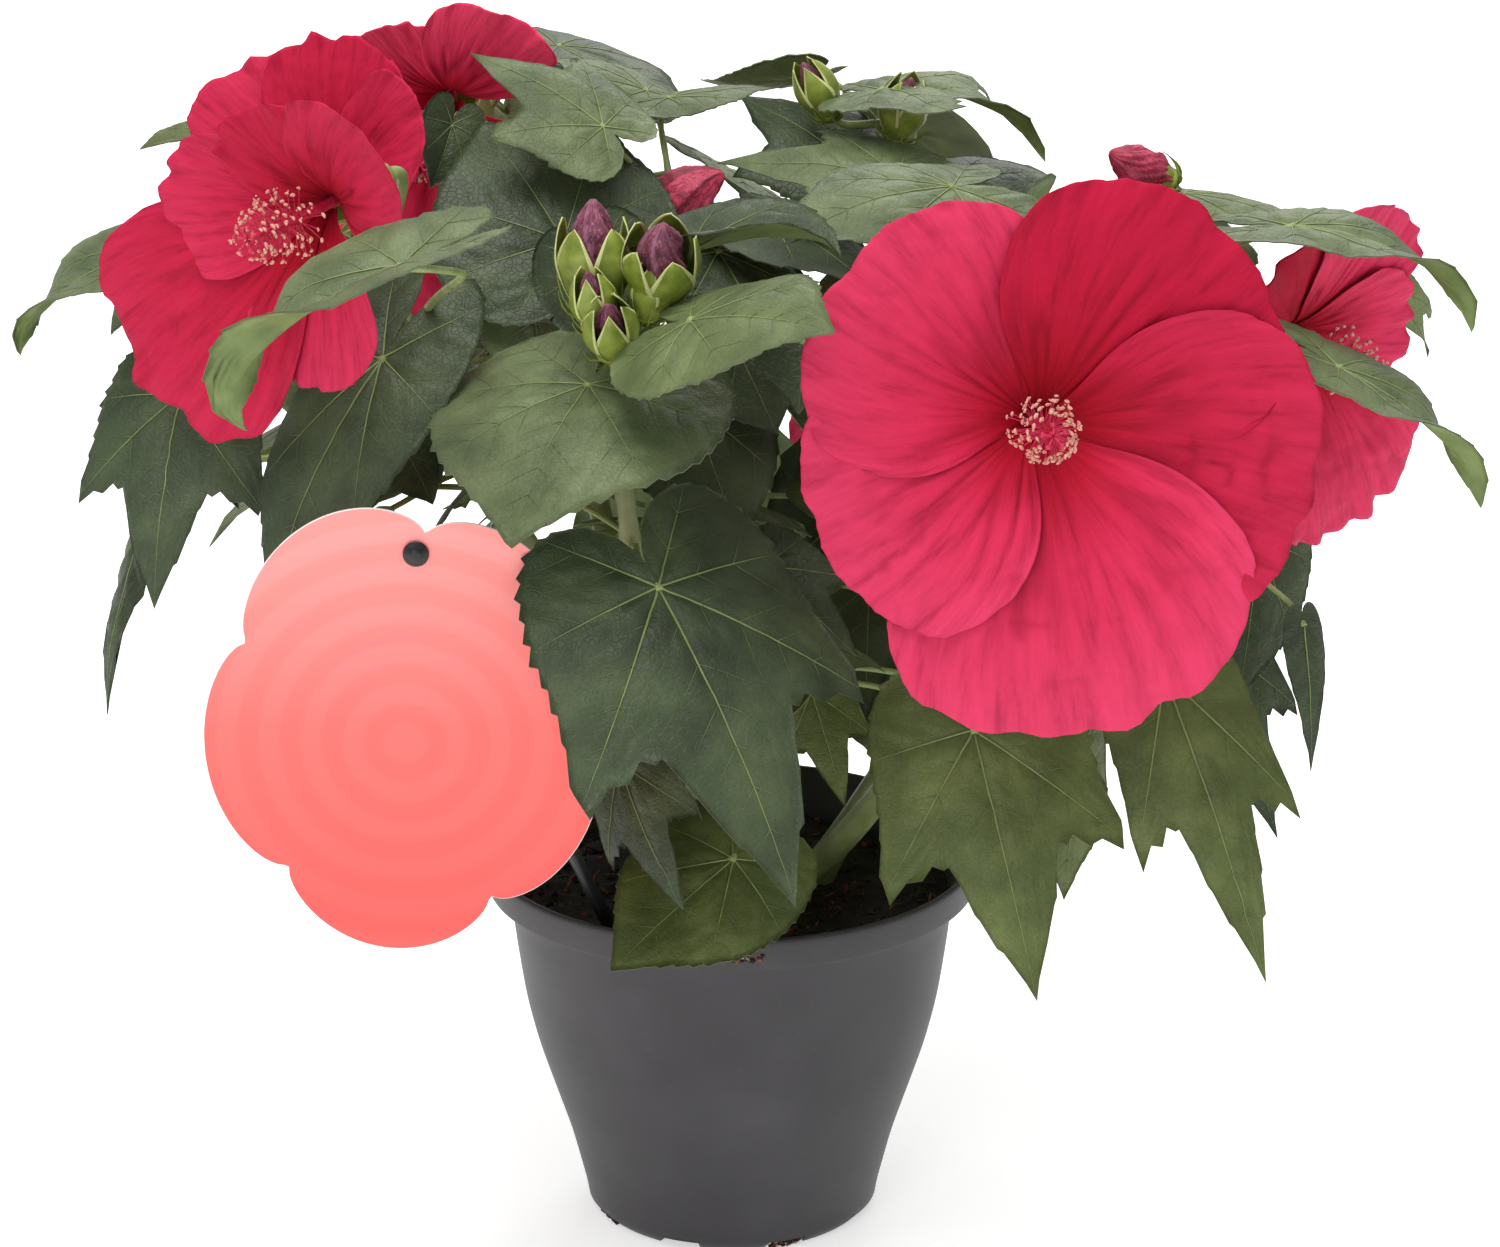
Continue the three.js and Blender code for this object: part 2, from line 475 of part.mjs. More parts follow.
// A point of the open flower. The throat is a funnel, the rim stands forward by the cup, and each
// petal's leading side lies over the next.
function dishPoint(flower, frame, share, angle, lift) {
  const { far, across } = petalAt(flower, angle);
  const r = far * share;
  const out = r / flower.radius;
  const funnel = THROAT_DEPTH * (1 - Math.exp(-r / 20));
  const height = funnel + flower.cup * out ** 2 - 5 * out ** 5 + 2.2 * across * share + lift;
  return at3(flower.throat)
    .addScaledVector(frame.right, r * Math.cos(angle * RAD))
    .addScaledVector(frame.up, r * Math.sin(angle * RAD))
    .addScaledVector(frame.axis, height - THROAT_DEPTH * 0.25);
}

// A flower as a solid: the five petals as one lobed dish, the calyx behind it and the column of
// stamens in front.
function flowerSolid(flower) {
  const frame = flowerFrame(flower);
  const half = PETAL_THICKNESS / 2;
  const section = [[0, -1], [0.28, -1], [0.65, -1], [1, -1], [1, 1], [0.65, 1], [0.28, 1], [0, 1]];
  const disc = new THREE.LatheGeometry(section.map(([r, h]) => new THREE.Vector2(r, h)), FLOWER_SIDES);
  const dish = solidOf(shaped(disc, (p, i) => {
    const [share, side] = section[i % section.length];
    const angle = (Math.floor(i / section.length) % FLOWER_SIDES) * (360 / FLOWER_SIDES);
    return dishPoint(flower, frame, share, angle, side * half);
  }));
  const throat = at3(flower.throat);
  const calyx = [[0, -CALYX_DEPTH], [3.2, -CALYX_DEPTH], [9.5, -27], [11, -12], [0, -5]];
  const column = [[0, -6.4], [3.2, -6.4], [2.8, 20], [8.5, 25], [8.5, 36], [0, 46]];
  return fuse([dish, turned(calyx, 8, throat, frame.axis), turned(column, 6, throat, frame.axis)]);
}

// The stalk that carries a flower ends just short of its calyx.
function flowerStalk(flower, curve) {
  const axis = at3(flower.axis).normalize();
  const end = at3(flower.throat).addScaledVector(axis, -CALYX_DEPTH - GAP);
  return stalk(curve, flower.from, end, axis, FLOWER_STALK_RADIUS, 5, 5);
}

// What is in place so far. A new leaf has to keep clear of all of it but its own stem's pieces.
const placed = [];
function keep(stem, kind, solid) {
  placed.push({ stem, kind, solid, box: solid.boundingBox() });
}

function boxesMeet(a, b) {
  return a.min.every((low, i) => low <= b.max[i] && b.min[i] <= a.max[i]);
}

function touches(solid, counts) {
  const box = solid.boundingBox();
  return placed.some((other) => counts(other) && boxesMeet(box, other.box)
    && solid.intersect(other.solid).volume() > 1e-6);
}

// A leaf that would touch something is shifted a little along the way that it faces, and is left
// out where no shift clears it.
const SHIFTS = [0, 4, -4, 8, -8, 13, -13];
function shiftedLeaf(leaf, shift) {
  const step = bladeFrame(leaf).out.multiplyScalar(shift);
  return { ...leaf, at: leaf.at.clone().add(step), tip: leaf.tip.clone().add(step) };
}

function addLeaf(leaf, shifts, blocked) {
  for (const shift of shifts) {
    const moved = shiftedLeaf(leaf, shift);
    const wide = leafSolid(moved, CURVES[leaf.stem], GAP);
    if (!blocked(wide)) {
      const solid = leafSolid(moved, CURVES[leaf.stem]);
      keep(leaf.stem, 'stalk', solid.stalk);
      keep(leaf.stem, 'blade', solid.blade);
      return;
    }
  }
}

const CURVES = Object.fromEntries(Object.entries(STEMS).map(([name, stem]) => [name, stemCurve(stem)]));

const group = new THREE.Group();
const rigid = [
  ['pot', pot(), POT_PLASTIC],
  ['soil', soil(), SOIL],
  ['care_card', card(), CARD],
  ['card_stick', cardStick(), CARD_STICK],
];
for (const [name, solid, material] of rigid) {
  keep(name, 'rigid', solid);
  group.add(meshOf(name, solid, material));
}

// Each stem is a bare bough and, a gap above it, the stem of its foliage.
for (const [name, curve] of Object.entries(CURVES)) {
  const bough = limb(new Stretch(curve, 0, BOUGH_SHARE), (t) => stemRadius(t * BOUGH_SHARE), 7, 5, true);
  keep(name, 'bough', bough);
  group.add(meshOf(`bough_${name}`, bough, BARK));
  const from = BOUGH_SHARE + GAP / curve.getLength();
  keep(name, 'stem', limb(new Stretch(curve, from, 1), (t) => stemRadius(from + (1 - from) * t), 5, 5));
}
for (const flower of FLOWERS) {
  keep(flower.name, 'flower', flowerSolid(flower));
  keep(flower.stem, 'stalk', flowerStalk(flower, CURVES[flower.stem]));
}
for (const bud of BUDS) keep(bud.stem, 'stalk', budSolid(bud, CURVES[bud.stem]));

// The leaves that show one by one keep clear of all but their own stem and its stalks.
for (const [stem, from, start, tip, width, kind, more] of LEAVES) {
  const leaf = { stem, from, at: at3(start), tip: at3(tip), width, kind, bend: 12, fold: 0, ...more };
  leaf.face = more.face ? at3(more.face) : UP.clone();
  addLeaf(leaf, SHIFTS, ({ stalk: carrier, blade: sheet }) => (
    touches(carrier, (other) => other.stem !== stem || other.kind === 'bough')
    || touches(sheet, (other) => other.stem !== stem || other.kind === 'bough' || other.kind === 'blade')
  ));
}

// The other leaves leave their stem all round it, and droop more the lower they are.
function fillLeaf(name, curve, k, next) {
  const [shortStalk, longStalk] = FILL.stalk;
  const [shortBlade, longBlade] = FILL.blade;
  const from = FILL.from + FILL.span * ((k + 0.5 * next()) / FILL.tries);
  const heading = (k * FILL.turn + FILL.stray * next()) * RAD;
  const rise = (FILL.rise[0] + FILL.rise[1] * from * next()) * RAD;
  const reach = longStalk - (longStalk - shortStalk) * from * (0.6 + 0.4 * next());
  const droop = (FILL.droop[0] + (FILL.droop[1] - FILL.droop[0]) * next()) * RAD;
  const length = shortBlade + (longBlade - shortBlade) * next();
  const turn = heading + FILL.twist * (next() - 0.5) * RAD;
  const kind = next() < FILL.hearts ? 'heart' : 'maple';
  const root = curve.getPointAt(from);
  const level = new THREE.Vector3(Math.cos(heading), Math.sin(heading), 0);
  const at = root.clone()
    .addScaledVector(level, reach * Math.cos(rise))
    .addScaledVector(UP, reach * Math.sin(rise));
  const way = new THREE.Vector3(Math.cos(turn), Math.sin(turn), 0);
  const tip = at.clone()
    .addScaledVector(way, length * Math.cos(droop))
    .addScaledVector(UP, -length * Math.sin(droop));
  return { stem: name, from, at, tip, width: length * (kind === 'heart' ? 0.95 : 1.05), kind,
    face: UP.clone().addScaledVector(way, 0.3), bend: 24, fold: 6 * next(), plain: true };
}

function inRoom(point) {
  const { centre, reach } = FILL.room;
  return centre.reduce((sum, c, i) => sum + ((point.getComponent(i) - c) / reach[i]) ** 2, 0) <= 1;
}

for (const [index, [name, curve]] of Object.entries(CURVES).entries()) {
  const next = randomFrom(811 + index * 97);
  for (let k = 0; k < FILL.tries; k += 1) {
    const leaf = fillLeaf(name, curve, k, next);
    const middle = leaf.at.clone().lerp(leaf.tip, 0.5);
    if (middle.y < FILL.front || !inRoom(leaf.tip) || leaf.tip.z < POT_HEIGHT + 4) continue;
    addLeaf(leaf, FILL.shifts, ({ stalk: carrier, blade: sheet }) => (
      touches(carrier, (other) => other.stem !== name || other.kind === 'bough' || other.kind === 'blade')
      || touches(sheet, (other) => other.stem !== name || other.kind !== 'rigid')
    ));
  }
}

// Each stem's foliage becomes one solid, and each flower one more.
for (const name of Object.keys(STEMS)) {
  const own = placed.filter((piece) => piece.stem === name && piece.kind !== 'bough');
  group.add(meshOf(`foliage_${name}`, fuse(own.map((piece) => piece.solid)), FOLIAGE));
}
for (const flower of FLOWERS) {
  const own = placed.find((piece) => piece.stem === flower.name);
  group.add(meshOf(flower.name, own.solid, PETALS));
}

export default group;
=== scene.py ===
"""A potted rose mallow in flower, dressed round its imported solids: the pot and its soil, eight
stems, their leaves and buds, six open flowers and a plain care card on its stick.

The tables and formulas are in millimetres and degrees, as the part's own source has them, and
lengths become metres where a mesh is made. +Z is up and -Y is the front.
"""
import math

import bpy
import numpy as np
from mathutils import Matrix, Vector, geometry
from mathutils.bvhtree import BVHTree


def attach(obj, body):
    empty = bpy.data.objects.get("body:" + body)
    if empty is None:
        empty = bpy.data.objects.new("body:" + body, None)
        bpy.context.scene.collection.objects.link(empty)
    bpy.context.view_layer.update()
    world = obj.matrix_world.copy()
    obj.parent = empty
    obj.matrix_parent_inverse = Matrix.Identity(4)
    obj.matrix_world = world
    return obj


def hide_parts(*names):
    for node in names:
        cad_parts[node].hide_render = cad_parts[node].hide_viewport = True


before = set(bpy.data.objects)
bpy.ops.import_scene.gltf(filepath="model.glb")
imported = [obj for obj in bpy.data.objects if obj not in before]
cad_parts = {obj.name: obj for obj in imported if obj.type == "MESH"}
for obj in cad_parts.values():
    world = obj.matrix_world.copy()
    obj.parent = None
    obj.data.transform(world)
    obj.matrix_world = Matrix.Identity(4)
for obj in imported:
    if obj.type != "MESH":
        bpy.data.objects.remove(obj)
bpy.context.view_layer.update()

MM = 0.001
RAD = math.pi / 180

# Driving dimensions, the same as the solids have.
POT_HEIGHT = 146
RIM_RADIUS = 95
RIM_DEPTH = 12
SOIL_TOP = 130
STEM_FOOT_RADIUS = 5.6
STEM_TOP_RADIUS = 2.6
PETIOLE_RADIUS = 1.5
PEDICEL_RADIUS = 2.5          # of a flower's stalk
THROAT_DEPTH = 24
PETAL_SPREAD = 56
CARD_WIDTH = 144
CARD_HEIGHT = 170
CARD_LOBES = 5
CARD_THICKNESS = 1.2
CARD_HOLE = np.array([-110, -150, 316.0])
CARD_CENTRE = np.array([-115, -150, 251.0])
CURL = 26                     # degrees by which each half of a blade droops at its edge
GAP = 0.3                     # between solids that would touch
SEEDS = 811                   # for the rule that fills the crown

# What only the looks need.
LEAF_SHELL = 0.45             # thickness of a fine blade
ROLL_FROM = 0.62              # share of a blade's length beyond which its tip rolls under
TWIST_FROM = 0.3              # and beyond which it turns about its midrib
PETAL_SHELL = 0.4
STAMENS = 108                 # in each open flower
STYLES = 5
GOLDEN_TURN = 2.39996         # radians from one stamen to the next
SEPALS = 5
BRACTS = 10
CALYX_LENGTH = 34             # from the end of a flower's stalk to its throat
CALYX_CUP = [(0, 0), (3.2, 0.2), (5.5, 2.5), (8.2, 7), (8.8, 13), (0, 20)]
STEM_SIDES = 18
DRAIN_SLOTS = 8
CRUMBS = 1500
SOIL_RADIUS = 84.6            # of the bed's top, where it meets the pot's inside

# Each stem's foot on the soil, the point that it leans towards, and its top.
STEMS = {
    "front": dict(foot=(-6, -18), lean=(-42, -55, 260), top=(-40, -106, 385)),
    "left": dict(foot=(-26, -6), lean=(-70, -28, 290), top=(-128, -56, 384)),
    "upper_left": dict(foot=(-22, 16), lean=(-52, 64, 290), top=(-98, 104, 420)),
    "back": dict(foot=(-4, 6), lean=(-20, 18, 290), top=(-22, 12, 402)),
    "back_right": dict(foot=(14, 24), lean=(34, 60, 290), top=(68, 62, 415)),
    "rear": dict(foot=(-6, 34), lean=(16, 70, 225), top=(58, 114, 250)),
    "right": dict(foot=(32, 10), lean=(104, -4, 250), top=(156, -6, 374)),
    "front_right": dict(foot=(20, -10), lean=(102, -45, 218), top=(96, -66, 348)),
}

# The open flowers. Each petal is its angle round the throat and its length as a share of the
# radius, with its half angle where that isn't PETAL_SPREAD. The tones say how light each petal is
# painted, as painted light and shade: deep on a petal in shade, such as a hood, light on a lit one.
FLOWERS = [
    dict(name="flower_front", stem="front_right", start=1, throat=(107, -128, 358),
         axis=(0.1, -0.985, 0.13), radius=96, cup=8,
         petals=[(48, 0.98), (140, 0.94), (207, 0.9), (279, 1.16), (343, 1.03)],
         lit_tones=(0.1, 0.8, 1, 1, 0.35)),
    dict(name="flower_left", stem="left", start=1, throat=(-140, -120, 434),
         axis=(-0.56, -0.8, -0.1), radius=100, cup=14,
         petals=[(42, 0.5, 58), (118, 0.42, 50), (181, 0.57, 42), (224, 0.98, 42), (276, 0.6, 44)]),
    dict(name="flower_upper_left", stem="left", start=0.92, throat=(-146, -18, 412),
         axis=(-0.344, -0.656, 0.593), radius=68, cup=20,
         petals=[(26, 0.7), (90, 0.74), (152, 0.77, 48), (234, 0.42), (306, 0.42)]),
    dict(name="flower_back_left", stem="upper_left", start=1, throat=(-107, 60, 427),
         axis=(-0.2, -0.88, -0.42), radius=84, cup=12,
         petals=[(58, 0.84, 32), (104, 0.62, 34), (185, 0.62), (245, 1.05), (300, 1)],
         lit_tones=(1, 1, 0.8, 0.6, 0.8)),
    dict(name="flower_right", stem="right", start=1, throat=(205, -48, 366),
         axis=(0.62, -0.76, -0.2), radius=90, cup=6,
         petals=[(68, 0.66, 40), (128, 0.6, 60), (215, 0.55, 46), (292, 0.9, 38), (8, 0.5, 52)],
         lit_tones=(1, 0, 0.8, 0.9, 0.9)),
    dict(name="flower_rear", stem="rear", start=1, throat=(78, 164, 262),
         axis=(0.3, 0.92, 0.2), radius=70, cup=8,
         petals=[(30, 1), (102, 0.95), (174, 1), (246, 1.05), (318, 1)]),
]

# The buds: stem, how far up it the stalk leaves, foot, way it points, length, and its look.
BUDS = [
    ("front", 0.98, (-48, -104, 389), (0, -0.1, 1), 42, "maroon"),
    ("front", 0.98, (-25, -104, 395), (0.05, -0.7, 0.9), 42, "maroon"),
    ("front", 0.98, (-41, -118, 379), (-0.05, -0.7, 0.8), 34, "closed"),
    ("front", 0.98, (-46, -120, 388), (-0.15, -0.4, 1), 28, "closed"),
    ("front", 0.98, (-30, -114, 390), (0.2, -0.3, 1), 28, "closed"),
    ("back", 1, (-35, -16, 400), (0.82, -0.16, 0.5), 38, "rolled"),
    ("back_right", 1, (62, 44, 416), (0.2, -0.5, 1), 32, "closed"),
    ("back_right", 1, (38, 44, 424), (-0.5, -0.3, 1), 28, "closed"),
    ("right", 0.95, (163, -14, 413), (-0.85, -0.25, 0.5), 29, "rolled"),
    ("rear", 0.94, (14, 124, 300), (-0.5, 0.2, 1), 34, "maroon"),
]

# The leaves that show one by one, by stem: how far up it the stalk leaves, the blade's start, tip,
# width and shape, then the way that its upper side looks, the arch along it and the fold of its
# halves. For the looks alone it has a shade, a tip that rolls or twists by some degrees, a step
# aside, and a share that slims it.
LEAVES = {
    "front": [
        (0.86, (-50, -120, 369), (-76, -185, 330), 104, "heart", dict(bend=30, fold=4, shade=0)),
        (0.62, (-25, -154, 305), (23, -194, 198), 124, "maple",
         dict(face=(0.45, -1, 0.5), bend=34, shade=2)),
        (0.90, (-14, -150, 401), (36, -205, 412), 66, "heart",
         dict(face=(0.1, -0.75, 1), bend=24, shade=1)),
        (0.95, (-14, -92, 410), (42, -112, 420), 54, "heart", dict(fold=34, bend=20, shade=2, roll=60)),
        (0.94, (-68, -128, 398), (-124, -170, 362), 52, "heart",
         dict(face=(-0.5, 0.3, 1), bend=44, fold=12, shade=1, roll=40, twist=-110)),
        (0.84, (26, -124, 386), (24, -136, 362), 34, "lance", dict(face=(0, -1, 0.2), shade=2)),
        (0.60, (-15, -64, 345), (4, -92, 296), 58, "heart", dict(face=(0.2, -1, 0.6), bend=20, shade=2)),
        (0.46, (-41, -92, 216), (-16, -122, 166), 48, "maple",
         dict(face=(-0.6, -0.8, 0.3), bend=24, shade=2)),
        (0.46, (1, -92, 178), (-44, -132, 149), 62, "heart", dict(face=(0.1, -0.9, 1), bend=20, shade=3)),
    ],
    "left": [
        (0.90, (-110, -198, 434), (-180, -224, 384), 52, "heart",
         dict(face=(-0.6, -0.2, 1), bend=40, fold=26, shade=0, roll=110, twist=-150)),
        (0.74, (-124, -98, 372), (-166, -126, 286), 58, "heart",
         dict(face=(-0.6, -0.9, 0.4), bend=36, shade=2)),
        (0.60, (-212, -44, 398), (-264, -62, 364), 46, "heart",
         dict(face=(-0.3, -0.3, 1), bend=40, fold=14, shade=0, roll=50, twist=-90)),
        (0.92, (-221, -38, 392), (-233, -42, 366), 26, "heart",
         dict(face=(-1, -0.6, 0.3), bend=20, shade=0)),
        (0.84, (-198, -80, 353), (-206, -112, 281), 76, "maple",
         dict(face=(-0.3, -1, 0.7), bend=40, shade=2)),
        (0.68, (-212, -58, 306), (-229, -82, 230), 30, "lance",
         dict(face=(-1, -0.5, 0.2), bend=24, shade=2)),
        (0.80, (-156, -80, 370), (-150, -92, 344), 30, "heart", dict(face=(0.2, -1, 0.3), shade=1)),
        (0.70, (-190, 12, 440), (-218, 2, 435), 26, "heart", dict(fold=20, shade=3, aside=(-3, 0, 0))),
        (0.68, (-184, 8, 430), (-197, -6, 412), 22, "heart", dict(bend=30, shade=3, aside=(-4, 0, 0))),
    ],
    "back": [
        (0.88, (-60, -58, 404), (-92, -18, 438), 90, "heart",
         dict(face=(0.2, -0.8, 0.8), bend=22, fold=6, shade=2)),
        (0.97, (-46, -36, 441), (-96, -14, 462), 68, "maple",
         dict(face=(-0.1, -0.25, 1), bend=30, shade=0)),
        (0.98, (-32, 56, 432), (-70, 74, 440), 36, "heart", dict(bend=30, shade=0)),
        (0.99, (-24, 28, 436), (16, 42, 435), 30, "heart", dict(bend=20, shade=0)),
        (0.95, (-26, -2, 432), (2, -18, 410), 40, "heart", dict(bend=40, shade=1)),
    ],
    "back_right": [
        (0.99, (56, 38, 437), (120, 18, 414), 74, "maple",
         dict(bend=66, fold=8, shade=0, roll=20, twist=80)),
        (0.97, (25, 72, 432), (-12, 94, 428), 34, "heart", dict(face=(0, -0.5, -1), bend=40, shade=1)),
        (0.92, (40, 38, 412), (2, 62, 428), 70, "maple", dict(face=(0, -0.4, 1), bend=24, shade=2)),
        (0.84, (62, -6, 414), (-6, 10, 414), 60, "maple", dict(face=(0, -0.45, 1), bend=26, shade=0)),
        (0.80, (80, -56, 424), (18, -92, 414), 66, "heart", dict(face=(0, -0.3, 1), bend=30, shade=0)),
        (0.90, (82, 26, 404), (120, 42, 403), 50, "heart", dict(face=(0, -0.3, 1), bend=20, shade=2)),
    ],
    "right": [
        (0.97, (166, -20, 412), (208, -42, 405), 34, "heart", dict(bend=24, shade=1)),
        (0.93, (198, -86, 414), (266, -114, 384), 36, "heart",
         dict(face=(-0.1, -0.05, 1), bend=60, fold=12, shade=0, roll=40, twist=110)),
        (0.6, (214, -122, 376), (268, -150, 334), 38, "heart",
         dict(face=(0.2, -0.1, 1), bend=34, fold=12, shade=0, roll=40, twist=120)),
        (0.90, (248, 8, 368), (262, -4, 344), 30, "maple",
         dict(face=(0.3, -0.6, 0.6), shade=1, roll=40, twist=100)),
        (0.84, (196, -36, 284), (188, -54, 226), 46, "heart", dict(face=(0.3, -1, 0.4), bend=20, shade=2)),
        (0.52, (219, -74, 264), (223, -84, 208), 22, "lance",
         dict(face=(0.4, -1, 0.2), bend=12, shade=2, aside=(-9, 0, 0), slim=0.7)),
    ],
    "front_right": [
        (0.62, (88, -112, 236), (111, -152, 144), 96, "maple", dict(face=(0, -1, 0.45), bend=24, shade=3)),
        (0.74, (158, -92, 250), (196, -132, 142), 66, "maple",
         dict(face=(0.1, -1, 0.35), bend=30, shade=3)),
        (0.70, (176, -50, 252), (206, -62, 172), 56, "maple", dict(face=(0.3, -1, 0.3), bend=20, shade=2)),
        (0.45, (30, -38, 224), (43, -48, 180), 40, "maple", dict(face=(0.3, -1, 0.2), shade=3)),
        (0.58, (12, -76, 286), (48, -98, 256), 46, "maple", dict(face=(0.2, -1, 0.5), bend=20, shade=2)),
        (0.50, (128, -58, 204), (124, -64, 150), 36, "heart", dict(face=(0.6, -0.9, 0.1), shade=3)),
    ],
}

# A few more inside the crown, each with its stem, which only the looks have.
INNER_LEAVES = [
    ("back", 0.86, (-103, 2, 432), (-111, -8, 410), 26, "heart",
     dict(face=(0.5, -1, 0.1), bend=20, fold=24, shade=2)),
    ("front", 0.9, (-48, -76, 401), (-32, -84, 362), 46, "heart",
     dict(face=(0.1, -1, 0.4), bend=20, shade=2)),
    ("front_right", 0.9, (3, -62, 363), (17, -76, 336), 38, "heart",
     dict(face=(0.1, -1, 0.4), bend=24, shade=2)),
    ("left", 0.7, (-131, -48, 344), (-109, -60, 304), 50, "heart",
     dict(face=(0.3, -1, 0.4), bend=30, shade=2)),
]

# The leaves of the sides and back, dealt out along each stem by a seeded rule.
FILL = dict(
    tries=20,                 # leaves tried on each stem
    turn=137.5,               # degrees between one and the next round the stem
    stray=40,                 # most degrees that a leaf stands off that turn
    twist=30,                 # degrees within which a blade turns off its stalk's heading
    start=0.46,               # share of a stem's length where its lowest leaf is
    span=0.54,                # share of a stem's length over which the leaves are dealt out
    rise=(-22, 75),           # lowest slope of a stalk, and what the topmost one can add to it
    droop=(18, 46),           # least slope of a blade, downwards, and what can be added to it
    stalk=(58, 112),          # shortest and longest leaf stalk
    blade=(66, 104),          # shortest and longest blade
    hearts=0.55,              # share of heart-shaped blades, the others being lobed
    centre=(0, 25, 262),      # of the room that a blade's tip stays in
    reach=(225, 185, 182),    # of that room, to each side of its centre
    front=-46,                # the middle of a blade stays behind this
    shifts=(0, 7, -7),        # how far a leaf may stand off its place
)
# The same rule carried on to the small leaves inside the crown, which only the looks have.
FINE = dict(FILL, tries=46, turn=99.5, stalk=(26, 84), blade=(34, 72), front=-70)
FINE_SEEDS = 5077
SHIFTS = (0, 4, -4, 8, -8, 13, -13)    # how far a leaf of the table may stand off its place

# Half of each outline, from the tip: degrees from the midrib, and share of the blade's length and side.
OUTLINES = {
    "heart": [(0, 1), (24, 0.79), (62, 0.72), (108, 0.64), (150, 0.47), (180, 0.08)],
    "maple": [(0, 1), (12, 0.74), (32, 0.53), (50, 0.8), (72, 0.56), (120, 0.45), (180, 0.08)],
    "lance": [(0, 1), (24, 0.55), (90, 0.3), (180, 0.06)],
}
POINTED = {"heart": (0,), "maple": (0, 50), "lance": (0,)}    # angles where an outline has a tip
RIBS = {"heart": (0, 40, 82, 126), "maple": (0, 50, 88, 132), "lance": (0,)}    # of the main veins
WIDEST = {
    kind: max(r * math.sin(a * RAD) for a, r in half) for kind, half in OUTLINES.items()
}


def random_from(seed):
    """A repeatable sequence of numbers from 0 to 1."""
    state = seed & 0xFFFFFFFF
    while True:
        state = (state * 1664525 + 1013904223) & 0xFFFFFFFF
        yield state / 4294967296


def vec(*numbers):
    return np.array(numbers[0] if len(numbers) == 1 else numbers, float)


def unit(v):
    return v / np.linalg.norm(v)


UP = vec(0, 0, 1)


def joined(*columns):
    """Rows made of columns, each of them an array or one number for all the rows."""
    return np.stack(np.broadcast_arrays(*columns), axis=-1)


def round_turn(sides):
    """Even angles round a circle."""
    return np.arange(sides) * (2 * math.pi / sides)


def square_to(axis, beside=(0.3, 1, 0.2)):
    """An axis as a unit vector, and two directions square to it."""
    axis = unit(vec(axis))
    across = unit(np.cross(axis, vec(beside)))
    return axis, across, np.cross(axis, across)


def about(turn, across, side):
    """The directions at some angles from across towards side."""
    return np.outer(np.cos(turn), across) + np.outer(np.sin(turn), side)


def value_noise(points, size, seed):
    """Smooth noise from -1 to 1 at each point, with lumps of about the given size."""
    p = np.asarray(points, float) / size + 1000
    cell = np.floor(p).astype(np.int64)
    f = p - cell
    f = f * f * (3 - 2 * f)
    total = np.zeros(len(p))
    for corner in np.ndindex(2, 2, 2):
        at = cell + corner
        mixed = at[:, 0] * 73856093 ^ at[:, 1] * 19349663 ^ at[:, 2] * 83492791 ^ seed * 2654435761
        mixed = (mixed ^ (mixed >> 13)) * 1274126177 & 0x7FFFFFFF
        mixed = (mixed ^ (mixed >> 16)) & 0xFFFF
        weight = np.prod(np.where(np.array(corner) == 1, f, 1 - f), axis=1)
        total += weight * (mixed / 32767.5 - 1)
    return total


class Path:
    """A Bezier curve walked by share of its length."""

    def __init__(self, *points):
        self.points = [vec(p) for p in points]
        self.steps = np.linspace(0, 1, 201)
        line = self.at_step(self.steps)
        self.run = np.concatenate([[0], np.cumsum(np.linalg.norm(np.diff(line, axis=0), axis=1))])
        self.length = self.run[-1]

    def at_step(self, t):
        t = np.atleast_1d(t)[:, None]
        row = [np.broadcast_to(p, (len(t), 3)) for p in self.points]
        while len(row) > 1:
            row = [a + (b - a) * t for a, b in zip(row, row[1:])]
        return row[0]

    def at(self, share):
        return self.at_step(np.interp(np.asarray(share) * self.length, self.run, self.steps))


def placed(name, data):
    """An object of some data, in the scene."""
    thing = bpy.data.objects.new(name, data)
    bpy.context.scene.collection.objects.link(thing)
    return thing


class Sheaf:
    """Points and faces gathered from many small forms, and made into one mesh object."""

    def __init__(self, *values):
        self.points = []
        self.faces = []
        self.kinds = []
        self.values = {name: [] for name in values}
        self.count = 0

    def add(self, points, faces, kind=0, **values):
        self.add_kinds(points, [(group, kind) for group in faces], **values)

    def add_kinds(self, points, groups, **values):
        """Points, and groups of their faces, each with the number of its material."""
        self.points.append(points)
        for group, kind in groups:
            self.faces += (np.asarray(group) + self.count).tolist()
            self.kinds += [kind] * len(group)
        for name, rows in self.values.items():
            rows.append(np.broadcast_to(values.get(name, 0.0), len(points)))
        self.count += len(points)

    def make(self, name, materials, replaced=(), smooth=True):
        """One piece of the body, in place of the nodes that it replaces."""
        mesh = bpy.data.meshes.new(name)
        mesh.from_pydata((np.concatenate(self.points) * MM).tolist(), [], self.faces)
        for material in materials:
            mesh.materials.append(material)
        mesh.polygons.foreach_set("material_index", self.kinds)
        mesh.polygons.foreach_set("use_smooth", [smooth] * len(mesh.polygons))
        for key, rows in self.values.items():
            attribute = mesh.attributes.new(key, "FLOAT", "POINT")
            attribute.data.foreach_set("value", np.concatenate(rows).astype(np.float32))
        mesh.update()
        piece = placed(name, mesh)
        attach(piece, "root")
        if replaced:
            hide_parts(*replaced)


def grid_faces(rows, columns, closed):
    """The quads between neighbouring rings or lines of points."""
    i = np.arange(rows - 1)[:, None] * columns
    j = np.arange(columns if closed else columns - 1)[None, :]
    k = (j + 1) % columns
    quads = joined(i + j, i + k, i + columns + k, i + columns + j)
    return quads.reshape(-1, 4)


def fan_faces(ring, centre):
    """Triangles between neighbours of a closed ring and one point."""
    return joined(ring, np.roll(ring, -1), centre)


def flipped(triangles):
    """The same triangles, facing the other way."""
    return triangles[:, [1, 0, 2]]


